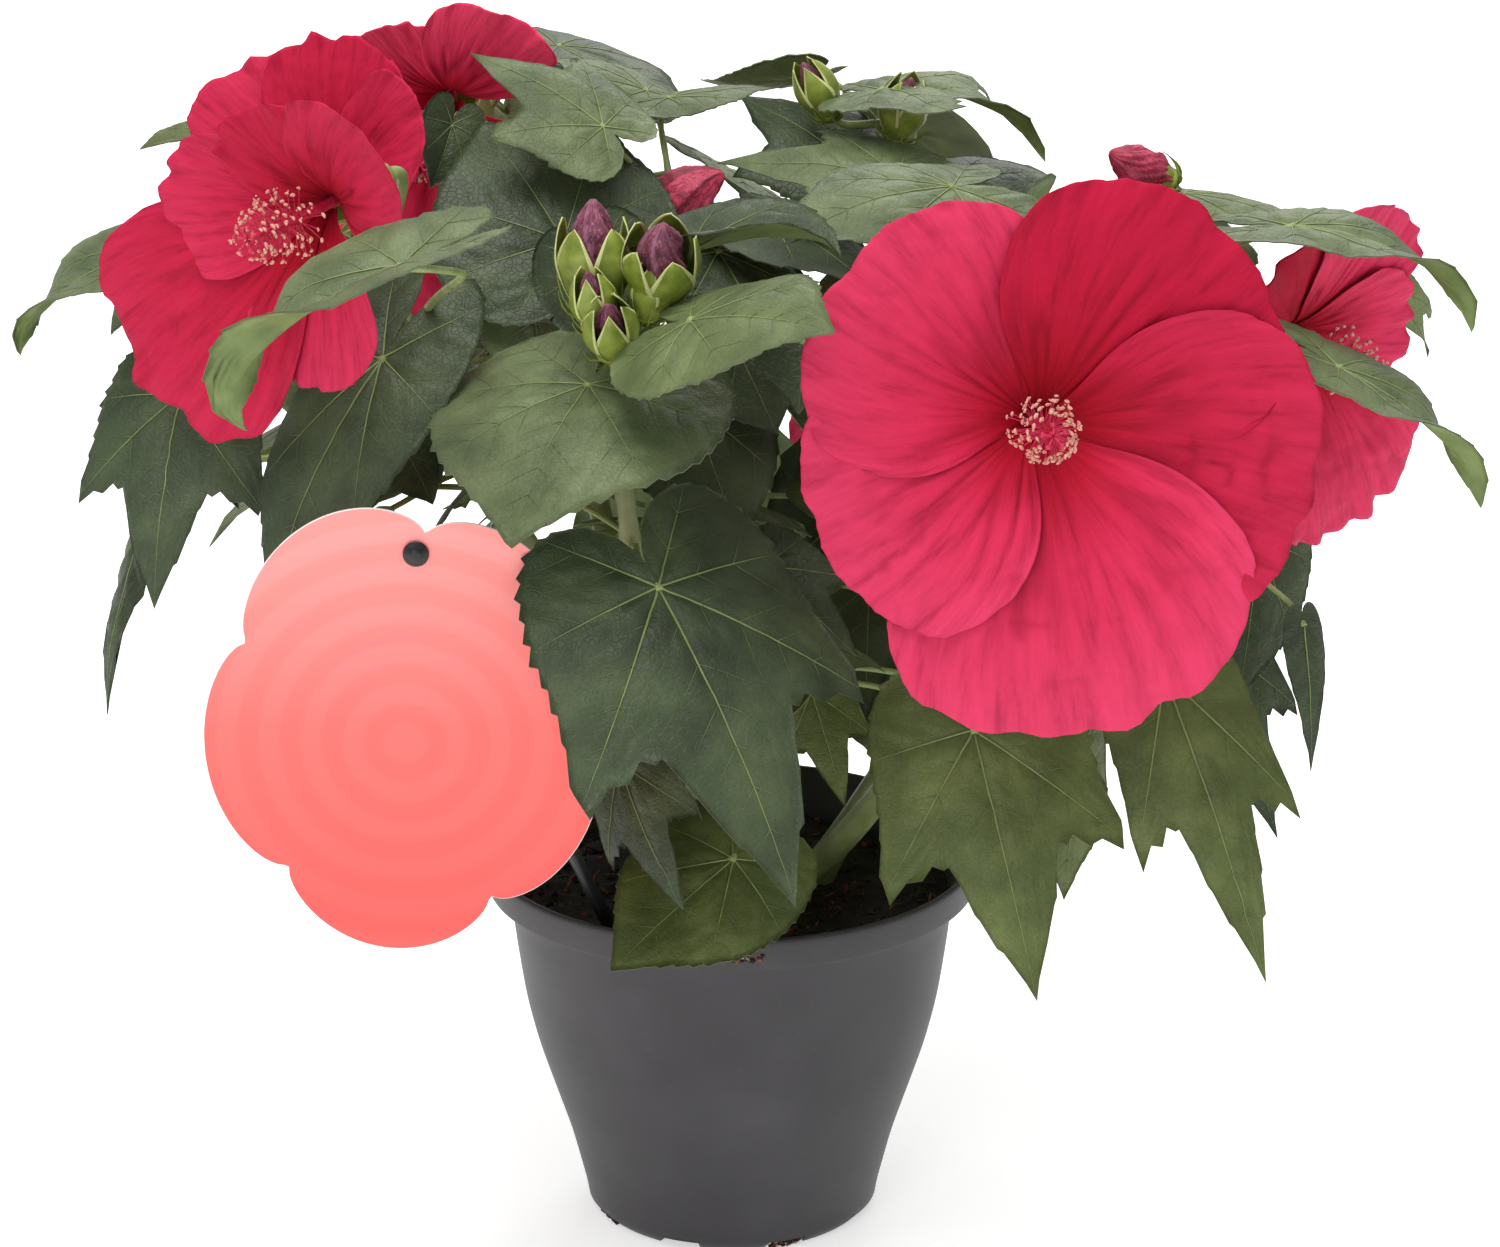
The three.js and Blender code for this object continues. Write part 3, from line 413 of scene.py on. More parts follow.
def edge_faces(rows, columns):
    """The quads that join the borders of a grid of points and of the same grid after it."""
    count = rows * columns
    border = np.concatenate([
        np.arange(columns),
        columns - 1 + columns * np.arange(1, rows),
        count - 2 - np.arange(columns - 1),
        columns * np.arange(rows - 2, 0, -1),
    ])
    after = np.roll(border, -1)
    return joined(border, after, after + count, border + count)


def cut(quads):
    """Quads cut along one diagonal each, so that a sheet's two sides bend along the same lines."""
    return np.concatenate([quads[:, [0, 1, 2]], quads[:, [0, 2, 3]]])


def tube(centres, radii, sides):
    """A closed limb along a line of points. radii is one radius each, or one row round each."""
    centres = np.asarray(centres, float)
    count = len(centres)
    along = np.gradient(centres, axis=0)
    along /= np.linalg.norm(along, axis=1)[:, None] + 1e-12
    across = vec(1, 0, 0) if abs(along[0][0]) < 0.8 else vec(0, 1, 0)
    turn = round_turn(sides)
    rings = []
    for k in range(count):
        across = unit(across - along[k] * (across @ along[k]))
        side = np.cross(along[k], across)
        radius = np.broadcast_to(radii[k], sides)[:, None]
        rings.append(centres[k] + about(turn, across, side) * radius)
    points = np.concatenate([*rings, centres[:1], centres[-1:]])
    ring = np.arange(sides)
    foot = flipped(fan_faces(ring, count * sides))
    head = fan_faces((count - 1) * sides + ring, count * sides + 1)
    return points, [grid_faces(count, sides, True), foot, head]


def tapered(steps, sides, first, last, *points):
    """A closed limb along a curve, from one radius to another."""
    return tube(Path(*points).at(np.linspace(0, 1, steps)), np.linspace(first, last, steps), sides)


def turned(profile, sides, foot, axis):
    """A turned form about an axis through a point. profile starts and ends on the axis."""
    beside = (1, 0, 0) if abs(unit(vec(axis))[0]) < 0.8 else (0, 1, 0)
    axis, across, side = square_to(axis, beside)
    foot = vec(foot)
    way = about(round_turn(sides), across, side)
    rings = [foot + axis * h + way * r for r, h in profile[1:-1]]
    points = np.concatenate([*rings, [foot + axis * profile[0][1], foot + axis * profile[-1][1]]])
    count = len(rings) * sides
    ring = np.arange(sides)
    first = flipped(fan_faces(ring, count))
    last = fan_faces(count - sides + ring, count + 1)
    return points, [grid_faces(len(rings), sides, True), first, last]


# Stems, stalks and the seeded rule, as in the solids.
def stem_radius(t):
    """A stem thins out evenly, and flares at its foot."""
    return STEM_FOOT_RADIUS + (STEM_TOP_RADIUS - STEM_FOOT_RADIUS) * t + 2.2 * np.exp(-t * 28)


CURVES = {
    name: Path((*stem["foot"], SOIL_TOP + GAP), stem["lean"], stem["top"]) for name, stem in STEMS.items()
}


def stalk_path(curve, share, end, arrive):
    """A stalk's course from a place along its stem to an end, which it comes to in a given direction."""
    root = curve.at(share)[0]
    reach = np.linalg.norm(end - root)
    leave = unit(unit(end - root) + vec(0, 0, 0.35))
    return Path(root, root + leave * reach * 0.4, end - arrive * reach * 0.3, end)


class Leaf:
    """A blade's frame, and the points of its surface."""

    def __init__(self, stem, start, at, tip, width, kind, face=(0, 0, 1), bend=12, fold=0):
        self.stem, self.start, self.width, self.kind = stem, start, width, kind
        self.at, self.tip, self.face = vec(at), vec(tip), vec(face)
        self.bend, self.fold = bend, fold
        self.chord = np.linalg.norm(self.tip - self.at)
        self.along = unit(self.tip - self.at)
        self.out = unit(self.face - self.along * (self.face @ self.along))
        self.across = np.cross(self.along, self.out)
        arch = max(bend, 1) * RAD
        self.length = self.chord * (arch / 2) / math.sin(arch / 2)
        self.side = width / 2 / WIDEST[kind]
        self.looks()

    def looks(self, shows=False, shade=None, roll=0, twist=0, **_):
        """Whether it is a leaf of a table, its shade, and how far its tip rolls under and twists."""
        self.shows, self.shade, self.roll, self.twist = shows, shade, roll, twist

    def moved(self, step, slim=1):
        """The same leaf a step aside, or slimmer."""
        return Leaf(self.stem, self.start, self.at + step, self.tip + step, self.width * slim, self.kind,
                    self.face, self.bend, self.fold)

    def surface(self, s, w, lift=0.0):
        """The point s along the midrib and w beside it, lifted off the blade's middle."""
        arch = max(self.bend, 1) * RAD
        slope = arch / 2 - arch * np.maximum(s, 0) / self.length
        sine, cosine = math.sin(arch / 2), math.cos(arch / 2)
        x = np.where(s < 0, s * cosine, self.length / arch * (sine - np.sin(slope)))
        z = np.where(s < 0, s * sine, self.length / arch * (np.cos(slope) - cosine))
        if self.roll:
            # Past ROLL_FROM the blade turns down more and more, and the steps off its arch add up.
            run = np.linspace(ROLL_FROM, 1.1, 40)
            more = self.roll * RAD * ((run - ROLL_FROM) / (1 - ROLL_FROM)) ** 2
            line = arch / 2 - arch * run
            step = (run[1] - run[0]) * self.length
            off_x = np.cumsum(np.cos(line - more) - np.cos(line)) * step
            off_z = np.cumsum(np.sin(line - more) - np.sin(line)) * step
            x = x + np.interp(s / self.length, run, off_x, left=0)
            z = z + np.interp(s / self.length, run, off_z, left=0)
            slope = slope - np.interp(s / self.length, run, more, left=0)
        # Each half rises by the fold at the midrib and droops outwards.
        fold = self.fold * RAD
        curl = CURL * RAD / (self.width / 2)
        tilt = fold - curl * np.abs(w)
        y = np.sign(w) * (math.sin(fold) - np.sin(tilt)) / curl
        rise = (np.cos(tilt) - math.cos(fold)) / curl + lift
        if self.twist:
            late = np.clip((s / self.length - TWIST_FROM) / (1 - TWIST_FROM), 0, 1)
            turn = self.twist * RAD * late ** 1.5
            y, rise = y * np.cos(turn) - rise * np.sin(turn), y * np.sin(turn) + rise * np.cos(turn)
        return (self.at + np.outer(x - rise * np.sin(slope), self.along)
                + np.outer(z + rise * np.cos(slope), self.out) + np.outer(y, self.across))

    def corners(self):
        """The points of the coarse blade's edge."""
        half = OUTLINES[self.kind]
        edge = vec([*half, *[(-a, r) for a, r in half[-2:0:-1]]])
        a = edge[:, 0] * RAD
        return self.surface(self.length * edge[:, 1] * np.cos(a), self.side * edge[:, 1] * np.sin(a))

    def stalk(self):
        arrive = unit(self.along * 0.55 + self.out * 0.5)
        return stalk_path(CURVES[self.stem], self.start, self.at + self.along * 1.5, arrive)


def fill_leaf(name, k, draw, rule):
    """A leaf of the seeded rule: it leaves its stem all round it, and rises more the higher it is."""
    short_stalk, long_stalk = rule["stalk"]
    short_blade, long_blade = rule["blade"]
    start = rule["start"] + rule["span"] * ((k + 0.5 * next(draw)) / rule["tries"])
    heading = (k * rule["turn"] + rule["stray"] * next(draw)) * RAD
    rise = (rule["rise"][0] + rule["rise"][1] * start * next(draw)) * RAD
    reach = long_stalk - (long_stalk - short_stalk) * start * (0.6 + 0.4 * next(draw))
    droop = (rule["droop"][0] + rule["droop"][1] * next(draw)) * RAD
    length = short_blade + (long_blade - short_blade) * next(draw)
    turn = heading + rule["twist"] * (next(draw) - 0.5) * RAD
    kind = "heart" if next(draw) < rule["hearts"] else "maple"
    level = vec(math.cos(heading), math.sin(heading), 0)
    at = CURVES[name].at(start)[0] + level * reach * math.cos(rise) + UP * reach * math.sin(rise)
    way = vec(math.cos(turn), math.sin(turn), 0)
    tip = at + way * length * math.cos(droop) - UP * length * math.sin(droop)
    width = length * (0.95 if kind == "heart" else 1.05)
    return Leaf(name, start, at, tip, width, kind, UP + way * 0.3, 24, 6 * next(draw))


def in_room(leaf, rule):
    """Whether a leaf of the rule keeps to the crown's room, behind its front and above the pot."""
    offset = (leaf.tip - vec(rule["centre"])) / vec(rule["reach"])
    middle = (leaf.at + leaf.tip) / 2
    return middle[1] >= rule["front"] and offset @ offset <= 1 and leaf.tip[2] >= POT_HEIGHT + 4


def searched(points, *groups):
    """A search tree of some groups of faces."""
    faces = [face for group in groups for face in group.tolist()]
    return BVHTree.FromPolygons([Vector(p) for p in points], faces)


def tree_of(*nodes):
    """A search tree of the faces of some nodes, in millimetres."""
    points = []
    faces = []
    for name in nodes:
        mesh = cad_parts[name].data
        faces += [[i + len(points) for i in f.vertices] for f in mesh.polygons]
        points += [v.co / MM for v in mesh.vertices]
    return BVHTree.FromPolygons(points, faces)


# A coarse blade's edge points lie on its solid when they are this near to its faces, which is
# more than half the blade's thickness and less than any shift.
ON_SOLID = 1.4


def on_solid(leaf, tree):
    return all(tree.find_nearest(Vector(p))[3] < ON_SOLID for p in leaf.corners())


def shown_leaf(stem, start, at, tip, width, kind, more):
    """A leaf of a table with its face, bend and fold, before its looks are set."""
    shape = {key: value for key, value in more.items() if key in ("face", "bend", "fold")}
    return Leaf(stem, start, at, tip, width, kind, **shape)


def kept_leaves():
    """The leaves that the foliage solids have, each at the shift that it has there."""
    leaves = []
    for index, name in enumerate(STEMS):
        tree = tree_of(f"foliage_{name}")
        tried = [(shown_leaf(name, *row), SHIFTS, dict(row[-1], shows=True)) for row in LEAVES.get(name, ())]
        draw = random_from(SEEDS + index * 97)
        for k in range(FILL["tries"]):
            leaf = fill_leaf(name, k, draw, FILL)
            if in_room(leaf, FILL):
                tried.append((leaf, FILL["shifts"], {}))
        for leaf, shifts, more in tried:
            places = (leaf.moved(leaf.out * shift) for shift in shifts)
            found = next((place for place in places if on_solid(place, tree)), None)
            if found:
                kept = found.moved(vec(more.get("aside", (0, 0, 0))), more.get("slim", 1))
                kept.looks(**more)
                leaves.append(kept)
    return leaves


def blade_net(leaf):
    """A few triangles in a blade's outline, and its stalk past its first quarter."""
    edge = leaf.corners()
    points, (body, foot, head) = tube(leaf.stalk().at(np.linspace(0.25, 1, 5)), [1.6] * 5, 3)
    count = len(points)
    fan = fan_faces(count + 1 + np.arange(len(edge)), count)
    return searched([*points, leaf.at, *edge], body, foot, head, fan)


def fine_leaves():
    """The inner leaves of the table, and the rule's small ones that keep clear of solids and each other."""
    solids = tree_of(*[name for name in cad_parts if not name.startswith("bough")])
    leaves = [shown_leaf(*row) for row in INNER_LEAVES]
    for leaf, row in zip(leaves, INNER_LEAVES):
        leaf.looks(shows=True, **row[-1])
    nets = [blade_net(leaf) for leaf in leaves]
    for index, name in enumerate(STEMS):
        draw = random_from(FINE_SEEDS + index * 131)
        for k in range(FINE["tries"]):
            leaf = fill_leaf(name, k, draw, FINE)
            if not in_room(leaf, FINE):
                continue
            net = blade_net(leaf)
            if net.overlap(solids) or any(net.overlap(other) for other in nets):
                continue
            nets.append(net)
            leaves.append(leaf)
    return leaves


# Fine blades. Lengths s and w are along the midrib and beside it, in millimetres.
TIP_SLOPE = 1.7               # how much steeper than its chord an outline runs into a tip
SIDE_SLOPE = math.tan(48 * RAD)         # side veins leave a main vein at 48 degrees
TOOTH_DEPTH = {"heart": 0.017, "maple": 0.03, "lance": 0.017}    # share of a blade's reach
TEETH_END = 160               # degrees from the midrib beyond which the edge is smooth
SMALLEST_RIB = 34             # a blade that shows little has side veins only on longer ribs
SIDE_VEIN_LEAST = 4           # millimetres beside its rib


def turn_between(a, b):
    """The angle between two directions, from 0 to pi."""
    return np.abs((a - b + math.pi) % (2 * math.pi) - math.pi)


def outline_reach(kind, angles):
    """How far the smooth outline lies from the stalk's end at each angle from the midrib."""
    half = OUTLINES[kind]
    at = vec([a for a, r in half])
    reach = vec([r for a, r in half])
    secant = np.diff(reach) / np.diff(at)
    before = np.concatenate([[secant[0]], secant])
    after = np.concatenate([secant, [secant[-1]]])
    smooth = np.where(before * after > 0, 2 * before * after / (before + after + 1e-12), 0)
    tips = np.isin(at, POINTED[kind])
    leaving = np.where(tips, TIP_SLOPE * after, smooth)
    coming = np.where(tips, TIP_SLOPE * before, smooth)
    a = np.clip(np.abs(angles), 0, 180)
    i = np.clip(np.searchsorted(at, a, side="right") - 1, 0, len(half) - 2)
    span = at[i + 1] - at[i]
    t = (a - at[i]) / span
    return (
        (2 * t ** 3 - 3 * t ** 2 + 1) * reach[i] + (t ** 3 - 2 * t ** 2 + t) * span * leaving[i]
        + (3 * t ** 2 - 2 * t ** 3) * reach[i + 1] + (t ** 3 - t ** 2) * span * coming[i + 1]
    )


def ribs_of(leaf):
    """The main veins of a blade: each one's direction, length, and angle from the midrib."""
    ribs = []
    for a in RIBS[leaf.kind]:
        for sign in ((1,) if a == 0 else (1, -1)):
            reach = float(outline_reach(leaf.kind, vec([a]))[0])
            end = vec(leaf.length * math.cos(a * RAD), sign * leaf.side * math.sin(a * RAD)) * reach
            ribs.append((unit(end), np.linalg.norm(end), math.atan2(end[1], end[0])))
    return sorted(ribs, key=lambda rib: rib[2])


def vein_spacing(leaf):
    return 5 + 0.085 * leaf.length


def relief(leaf, s, w):
    """How far the blade rises between its veins and sinks along them."""
    ribs = ribs_of(leaf)
    angle = np.arctan2(w, s)
    aims = vec([rib[2] for rib in ribs])
    off = turn_between(angle[:, None], aims[None, :])
    order = np.sort(off, axis=1)
    nearest = np.argmin(off, axis=1)
    ways = np.array([rib[0] for rib in ribs])[nearest]
    longs = vec([rib[1] for rib in ribs])[nearest]
    run = s * ways[:, 0] + w * ways[:, 1]
    beside = np.abs(w * ways[:, 0] - s * ways[:, 1])
    gap = order[:, 0] + order[:, 1] if order.shape[1] > 1 else np.full(len(s), math.pi)
    inside = np.clip(1 - (2 * order[:, 0] / gap) ** 4, 0, 1)
    phase = (run - beside / SIDE_SLOPE) / vein_spacing(leaf)
    quilt = -np.cos(2 * math.pi * phase) * inside * np.clip(beside / 5, 0, 1)
    valley = np.exp(-(beside / 2.2) ** 2) * np.clip(1.2 - run / longs, 0, 1)
    size = min(1.0, leaf.length / 90)
    return size * (0.62 * quilt - 1.1 * valley)


def waves(leaf, s, w, seed):
    """The slow undulation of a blade, strongest at its edge."""
    share = np.minimum(1, np.hypot(s / leaf.length, w / leaf.side))
    place = joined(s, w, 37.0 * seed)
    slow = value_noise(place, 0.36 * leaf.length, seed)
    quick = value_noise(place, 0.14 * leaf.length, seed + 7)
    return share ** 1.5 * (2.8 * slow + 1.2 * quick) * min(1.0, leaf.length / 80)


def add_blade(sheaf, leaf, seed, shade, spokes, rings):
    """A closed thin blade with a toothed edge and a relief of veins."""
    step = 360 / spokes
    angles = -180 + step * np.arange(spokes)
    tooth = np.arange(spokes) % 2 == 1
    jitter = value_noise(joined(angles, 0, seed), 7.0, seed)
    reach = outline_reach(leaf.kind, angles)
    serrate = TOOTH_DEPTH[leaf.kind] * np.where(tooth, 1 + 0.9 * jitter, -0.6) * (np.abs(angles) < TEETH_END)
    sweep = np.where(tooth, -0.45 * step * np.sign(angles), 0)
    shares = (np.arange(1, rings + 1) / rings)[:, None] ** 0.85
    rim = np.arange(1, rings + 1)[:, None] == rings
    a = (angles + sweep * rim) * RAD
    r = shares * reach * (1 + serrate * rim)
    s = np.append(leaf.length * r * np.cos(a), 0.0)
    w = np.append(leaf.side * r * np.sin(a), 0.0)
    lift = relief(leaf, s, w) + waves(leaf, s, w, seed)
    top = leaf.surface(s, w, lift + LEAF_SHELL / 2)
    below = leaf.surface(s, w, lift - LEAF_SHELL / 2)
    count = len(s)
    net = cut(grid_faces(rings, spokes, True))
    fan = flipped(fan_faces(np.arange(spokes), count - 1))
    rim = count - 1 - spokes + np.arange(spokes)
    after = np.roll(rim, -1)
    edge = joined(after, rim, count + rim, count + after)
    upper = [(group[:, ::-1], shade) for group in (net, fan, edge)]
    lower = [(group + count, UNDER) for group in (net, fan)]
    sheaf.add_kinds(np.concatenate([top, below]), upper + lower)
    add_veins(sheaf, leaf, searched(top, net, fan))


def add_vein(sheaf, leaf, tree, line, radii, kind, below=False):
    """A rib along the blade's upper side, and one on its underside if below is set."""
    found = [tree.find_nearest(Vector(p)) for p in leaf.surface(line[:, 0], line[:, 1])]
    seats = vec([hit[0] for hit in found])
    ways = vec([hit[1] for hit in found])
    ways *= np.sign(ways @ leaf.out)[:, None]
    radii = np.asarray(radii)
    sheaf.add(*tube(seats + ways * (radii * 0.3 + 0.1)[:, None], radii, 4), kind)
    if below:
        sheaf.add(*tube(seats - ways * (LEAF_SHELL + radii * 0.3)[:, None], radii * 1.1, 4), kind)


def side_vein_width(leaf, start, way, beside, aim, between):
    """How far beside its rib a side vein runs, before the edge or halfway to the next rib."""
    longest = 0.0
    for w in np.arange(1.0, leaf.width, 1.5):
        p = way * (start + w / SIDE_SLOPE) + beside * w
        polar = math.degrees(math.atan2(p[1] / leaf.side, p[0] / leaf.length))
        share = math.hypot(p[0] / leaf.length, p[1] / leaf.side)
        past_edge = share > 0.93 * outline_reach(leaf.kind, vec([polar]))[0]
        if past_edge or turn_between(math.atan2(p[1], p[0]), aim) > 0.5 * between:
            break
        longest = w
    return longest


def add_veins(sheaf, leaf, tree):
    """The main veins and those that leave them, as fine ribs."""
    thick = 0.15 + 0.003 * leaf.length
    ribs = ribs_of(leaf)
    spacing = vein_spacing(leaf)
    for index, (way, long, aim) in enumerate(ribs):
        t = np.linspace(0, 0.94, 17 if leaf.shows else 8)
        add_vein(sheaf, leaf, tree, np.outer(t * long, way), thick * (1.05 - t), VEIN, leaf.shows)
        if not leaf.shows and long < SMALLEST_RIB:
            continue
        for sign in (1, -1):
            other = ribs[(index + sign) % len(ribs)]
            between = 1.2 if len(ribs) == 1 else turn_between(other[2], aim)
            beside = vec(-way[1], way[0]) * sign
            for start in spacing * np.arange(1, 0.86 * long / spacing):
                longest = side_vein_width(leaf, start, way, beside, aim, between)
                if longest < SIDE_VEIN_LEAST:
                    continue
                w = np.linspace(0, longest, 7 if leaf.shows else 4)
                bow = 0.06 * w * (1 - w / longest)
                line = np.outer(start + w / SIDE_SLOPE - bow, way) + np.outer(w, beside)
                add_vein(sheaf, leaf, tree, line, thick * 0.32 * (1.1 - w / longest), SIDE_VEIN)


def add_stalk(sheaf, path, radius, steps=13, sides=7):
    """A leaf or bud stalk with a swelling where it leaves the stem and one at its end."""
    t = np.linspace(0, 1, steps)
    swell = 0.45 * np.exp(-(t / 0.05) ** 2) + 0.3 * np.exp(-((1 - t) / 0.04) ** 2)
    sheaf.add(*tube(path.at(t), radius * (1.15 - 0.3 * t) * (1 + swell), sides))


# Materials. Each is a Principled shader with noise of its own for the colour and the relief.
def hexed(text):
    """A colour as written in a picture, in the linear numbers that a shader takes."""
    rgb = [int(text[i:i + 2], 16) / 255 for i in (1, 3, 5)]
    return (*[c / 12.92 if c <= 0.04045 else ((c + 0.055) / 1.055) ** 2.4 for c in rgb], 1)


class Finish:
    """A material being made: its nodes, and short ways to link them."""

    def __init__(self, name, roughness, **sockets):
        self.material = bpy.data.materials.new(name)
        self.material.use_nodes = True
        self.tree = self.material.node_tree
        self.shader = self.tree.nodes["Principled BSDF"]
        self.feed(self.shader, {"Roughness": roughness})
        self.feed(self.shader, {key.replace("_", " "): value for key, value in sockets.items()})
        self.place = self.node("ShaderNodeTexCoord").outputs["Object"]

    def feed(self, node, inputs):
        """Each input gets its value, or a link where the value is another node's output."""
        for key, value in inputs.items():
            if isinstance(value, bpy.types.NodeSocket):
                self.tree.links.new(value, node.inputs[key])
            else:
                node.inputs[key].default_value = value

    def node(self, kind, inputs=None, **settings):
        node = self.tree.nodes.new(kind)
        for key, value in settings.items():
            setattr(node, key, value)
        self.feed(node, inputs or {})
        return node

    def noise(self, scale, detail=3.0, source=None, stretch=(1, 1, 1), roughness=0.5):
        """Noise with so many lumps to the metre, 0 to 1."""
        spread = self.node("ShaderNodeMapping", {"Vector": source or self.place, "Scale": stretch})
        inputs = {"Vector": spread.outputs[0], "Scale": scale, "Detail": detail, "Roughness": roughness}
        return self.node("ShaderNodeTexNoise", inputs).outputs["Fac"]

    def ramp(self, source, *stops):
        """Colours along a value. Each stop is a place from 0 to 1 and a colour."""
        ramp = self.node("ShaderNodeValToRGB", {"Fac": source})
        elements = ramp.color_ramp.elements
        while len(elements) < len(stops):
            elements.new(0.5)
        for element, (place, colour) in zip(elements, stops):
            element.position = place
            element.color = hexed(colour)
        return ramp.outputs["Color"]

    def blend(self, factor, first, second, mode="MIX"):
        inputs = {0: factor, 6: first, 7: second}
        return self.node("ShaderNodeMix", inputs, data_type="RGBA", blend_type=mode).outputs[2]

    def tinted(self, first, second):
        """One colour multiplied by another."""
        return self.blend(1.0, first, second, "MULTIPLY")

    def value(self, name):
        return self.node("ShaderNodeAttribute", attribute_name=name).outputs["Fac"]

    def math(self, operation, first, second=0.0):
        return self.node("ShaderNodeMath", {0: first, 1: second}, operation=operation).outputs[0]

    def times(self, first, second):
        return self.math("MULTIPLY", first, second)

    def colour(self, source):
        self.feed(self.shader, {"Base Color": source})

    def bump(self, source, depth):
        """Relief of a depth in millimetres, on top of any relief so far."""
        bump = self.node("ShaderNodeBump", {"Strength": 1.0, "Distance": depth * MM, "Height": source})
        before = self.shader.inputs["Normal"].links
        if before:
            self.feed(bump, {"Normal": before[0].from_socket})
        self.feed(self.shader, {"Normal": bump.outputs["Normal"]})


def mottled(name, dark, mid, light, size, roughness, depth=0.1, grain=0.8, **sockets):
    """A surface of three near colours in lumps of a size, with relief of a finer grain."""
    finish = Finish(name, roughness, **sockets)
    finish.colour(finish.ramp(finish.noise(1000 / size), (0.3, dark), (0.5, mid), (0.72, light)))
    finish.bump(finish.noise(1000 / grain, 2.0), depth)
    return finish.material


def leaf_finish(name, dark, mid, light, roughness=0.5):
    """A leaf's upper side: slow changes of green, a net of small veins, and a soft shine."""
    finish = Finish(name, roughness, Specular_IOR_Level=0.36, Sheen_Weight=0.05, Sheen_Roughness=0.4)
    slow = finish.ramp(finish.noise(45, 2.0), (0.3, dark), (0.5, mid), (0.7, light))
    speckle = finish.ramp(finish.noise(900, 2.0), (0.3, "#d8d8d8"), (0.7, "#ffffff"))
    finish.colour(finish.blend(0.6, slow, finish.tinted(slow, speckle)))
    cells = {"Vector": finish.place, "Scale": 420}
    net = finish.node("ShaderNodeTexVoronoi", cells, feature="DISTANCE_TO_EDGE")
    ridge = finish.node("ShaderNodeMapRange", {"Value": net.outputs["Distance"], "From Max": 0.12})
    finish.bump(finish.noise(105, 2.0), 1.1)
    finish.bump(ridge.outputs["Result"], 0.09)
    finish.bump(finish.noise(1500, 2.0), 0.05)
    return finish.material


def petal_finish(name, deep, light):
    """A petal, coloured from throat to rim, set between a deep and a light tone as painted shade and light,
    with streaks along its veins and painted shade in its creases.
    """
    finish = Finish(name, 0.66, Specular_IOR_Level=0.1, Sheen_Weight=0.05, Sheen_Roughness=0.4)
    finish.feed(finish.shader, {"Sheen Tint": hexed("#ff4468")})
    reach = finish.value("reach")
    # Two ramps, the deep one for painted shade and the light one for painted light; each petal's tone sets
    # where it lies between them.
    deep = finish.ramp(reach, *zip((0.04, 0.2, 0.45, 0.95), deep))
    light = finish.ramp(reach, *zip((0.04, 0.2, 0.45, 0.95), light))
    body = finish.blend(finish.value("tone"), deep, light)
    spread = finish.node("ShaderNodeCombineXYZ", {
        0: finish.times(finish.value("sweep"), 13.0),
        1: finish.times(reach, 2.6),
        2: finish.value("petal"),
    })
    streak = finish.noise(1.0, 4.0, source=spread.outputs[0], roughness=0.62)
    shade = finish.ramp(streak, (0.26, "#c8b1b8"), (0.46, "#f2ebed"), (0.62, "#ffffff"))
    # Creases and crumples are painted darker: painted shade in the folds.
    painted_crease_shade = finish.ramp(finish.value("crease"), (0.0, "#ffffff"), (1.0, "#cdb6bc"))
    finish.colour(finish.tinted(finish.tinted(body, shade), painted_crease_shade))
    finish.bump(streak, 0.4)
    finish.bump(finish.noise(240, 3.0), 0.4)
    finish.bump(finish.noise(1700, 2.0), 0.06)
    return finish.material


def pot_finish():
    """Dark grey moulded plastic with faint vertical scuffs and a dusting of dry soil."""
    finish = Finish("pot_plastic", 0.5, Specular_IOR_Level=0.42)
    base = finish.ramp(finish.noise(24, 2.0), (0.3, "#302e31"), (0.55, "#363437"), (0.75, "#3d3b3e"))
    dust = finish.ramp(finish.noise(420, 4.0, roughness=0.7), (0.63, "#000000"), (0.76, "#ffffff"))
    tint = finish.ramp(finish.noise(8, 1.0), (0.0, "#5d564f"), (1.0, "#6a6158"))
    finish.colour(finish.blend(finish.times(dust, 0.35), base, tint))
    finish.bump(finish.noise(60, 3.0, stretch=(1, 1, 0.12)), 0.05)
    finish.bump(finish.noise(1400, 2.0), 0.025)
    return finish.material


def card_finish():
    """Glossy coral print with plain rings about the middle, painted paler towards the top as a painted
    highlight there.
    """
    finish = Finish("card_print", 0.3, Specular_IOR_Level=0.5, Coat_Weight=0.35, Coat_Roughness=0.12)
    place = finish.node("ShaderNodeSeparateXYZ", {0: finish.place})
    low = (CARD_CENTRE[2] - CARD_HEIGHT / 2) * MM
    high = (CARD_CENTRE[2] + CARD_HEIGHT / 2) * MM
    rise = finish.node("ShaderNodeMapRange", {"Value": place.outputs[2], "From Min": low, "From Max": high})
    # The coral of the print, paler towards the top: painted highlight.
    coral_and_highlight = finish.ramp(rise.outputs["Result"], (0.1, "#f8504a"), (0.5, "#fb6660"), (0.95, "#fd9a96"))
    across = finish.math("SUBTRACT", place.outputs[0], float(CARD_CENTRE[0] * MM))
    height = finish.math("SUBTRACT", place.outputs[2], float((CARD_CENTRE[2] - 6) * MM))
    squares = [finish.times(part, part) for part in (across, height)]
    radius = finish.math("SQRT", finish.math("ADD", *squares))
    wave = finish.math("SINE", finish.times(radius, 420.0))
    share = finish.math("ADD", finish.times(wave, 0.5), 0.5)
    rings = finish.ramp(share, (0.3, "#fff0ee"), (0.7, "#ffffff"))
    finish.colour(finish.tinted(coral_and_highlight, rings))
    finish.bump(finish.noise(900, 2.0), 0.01)
    return finish.material


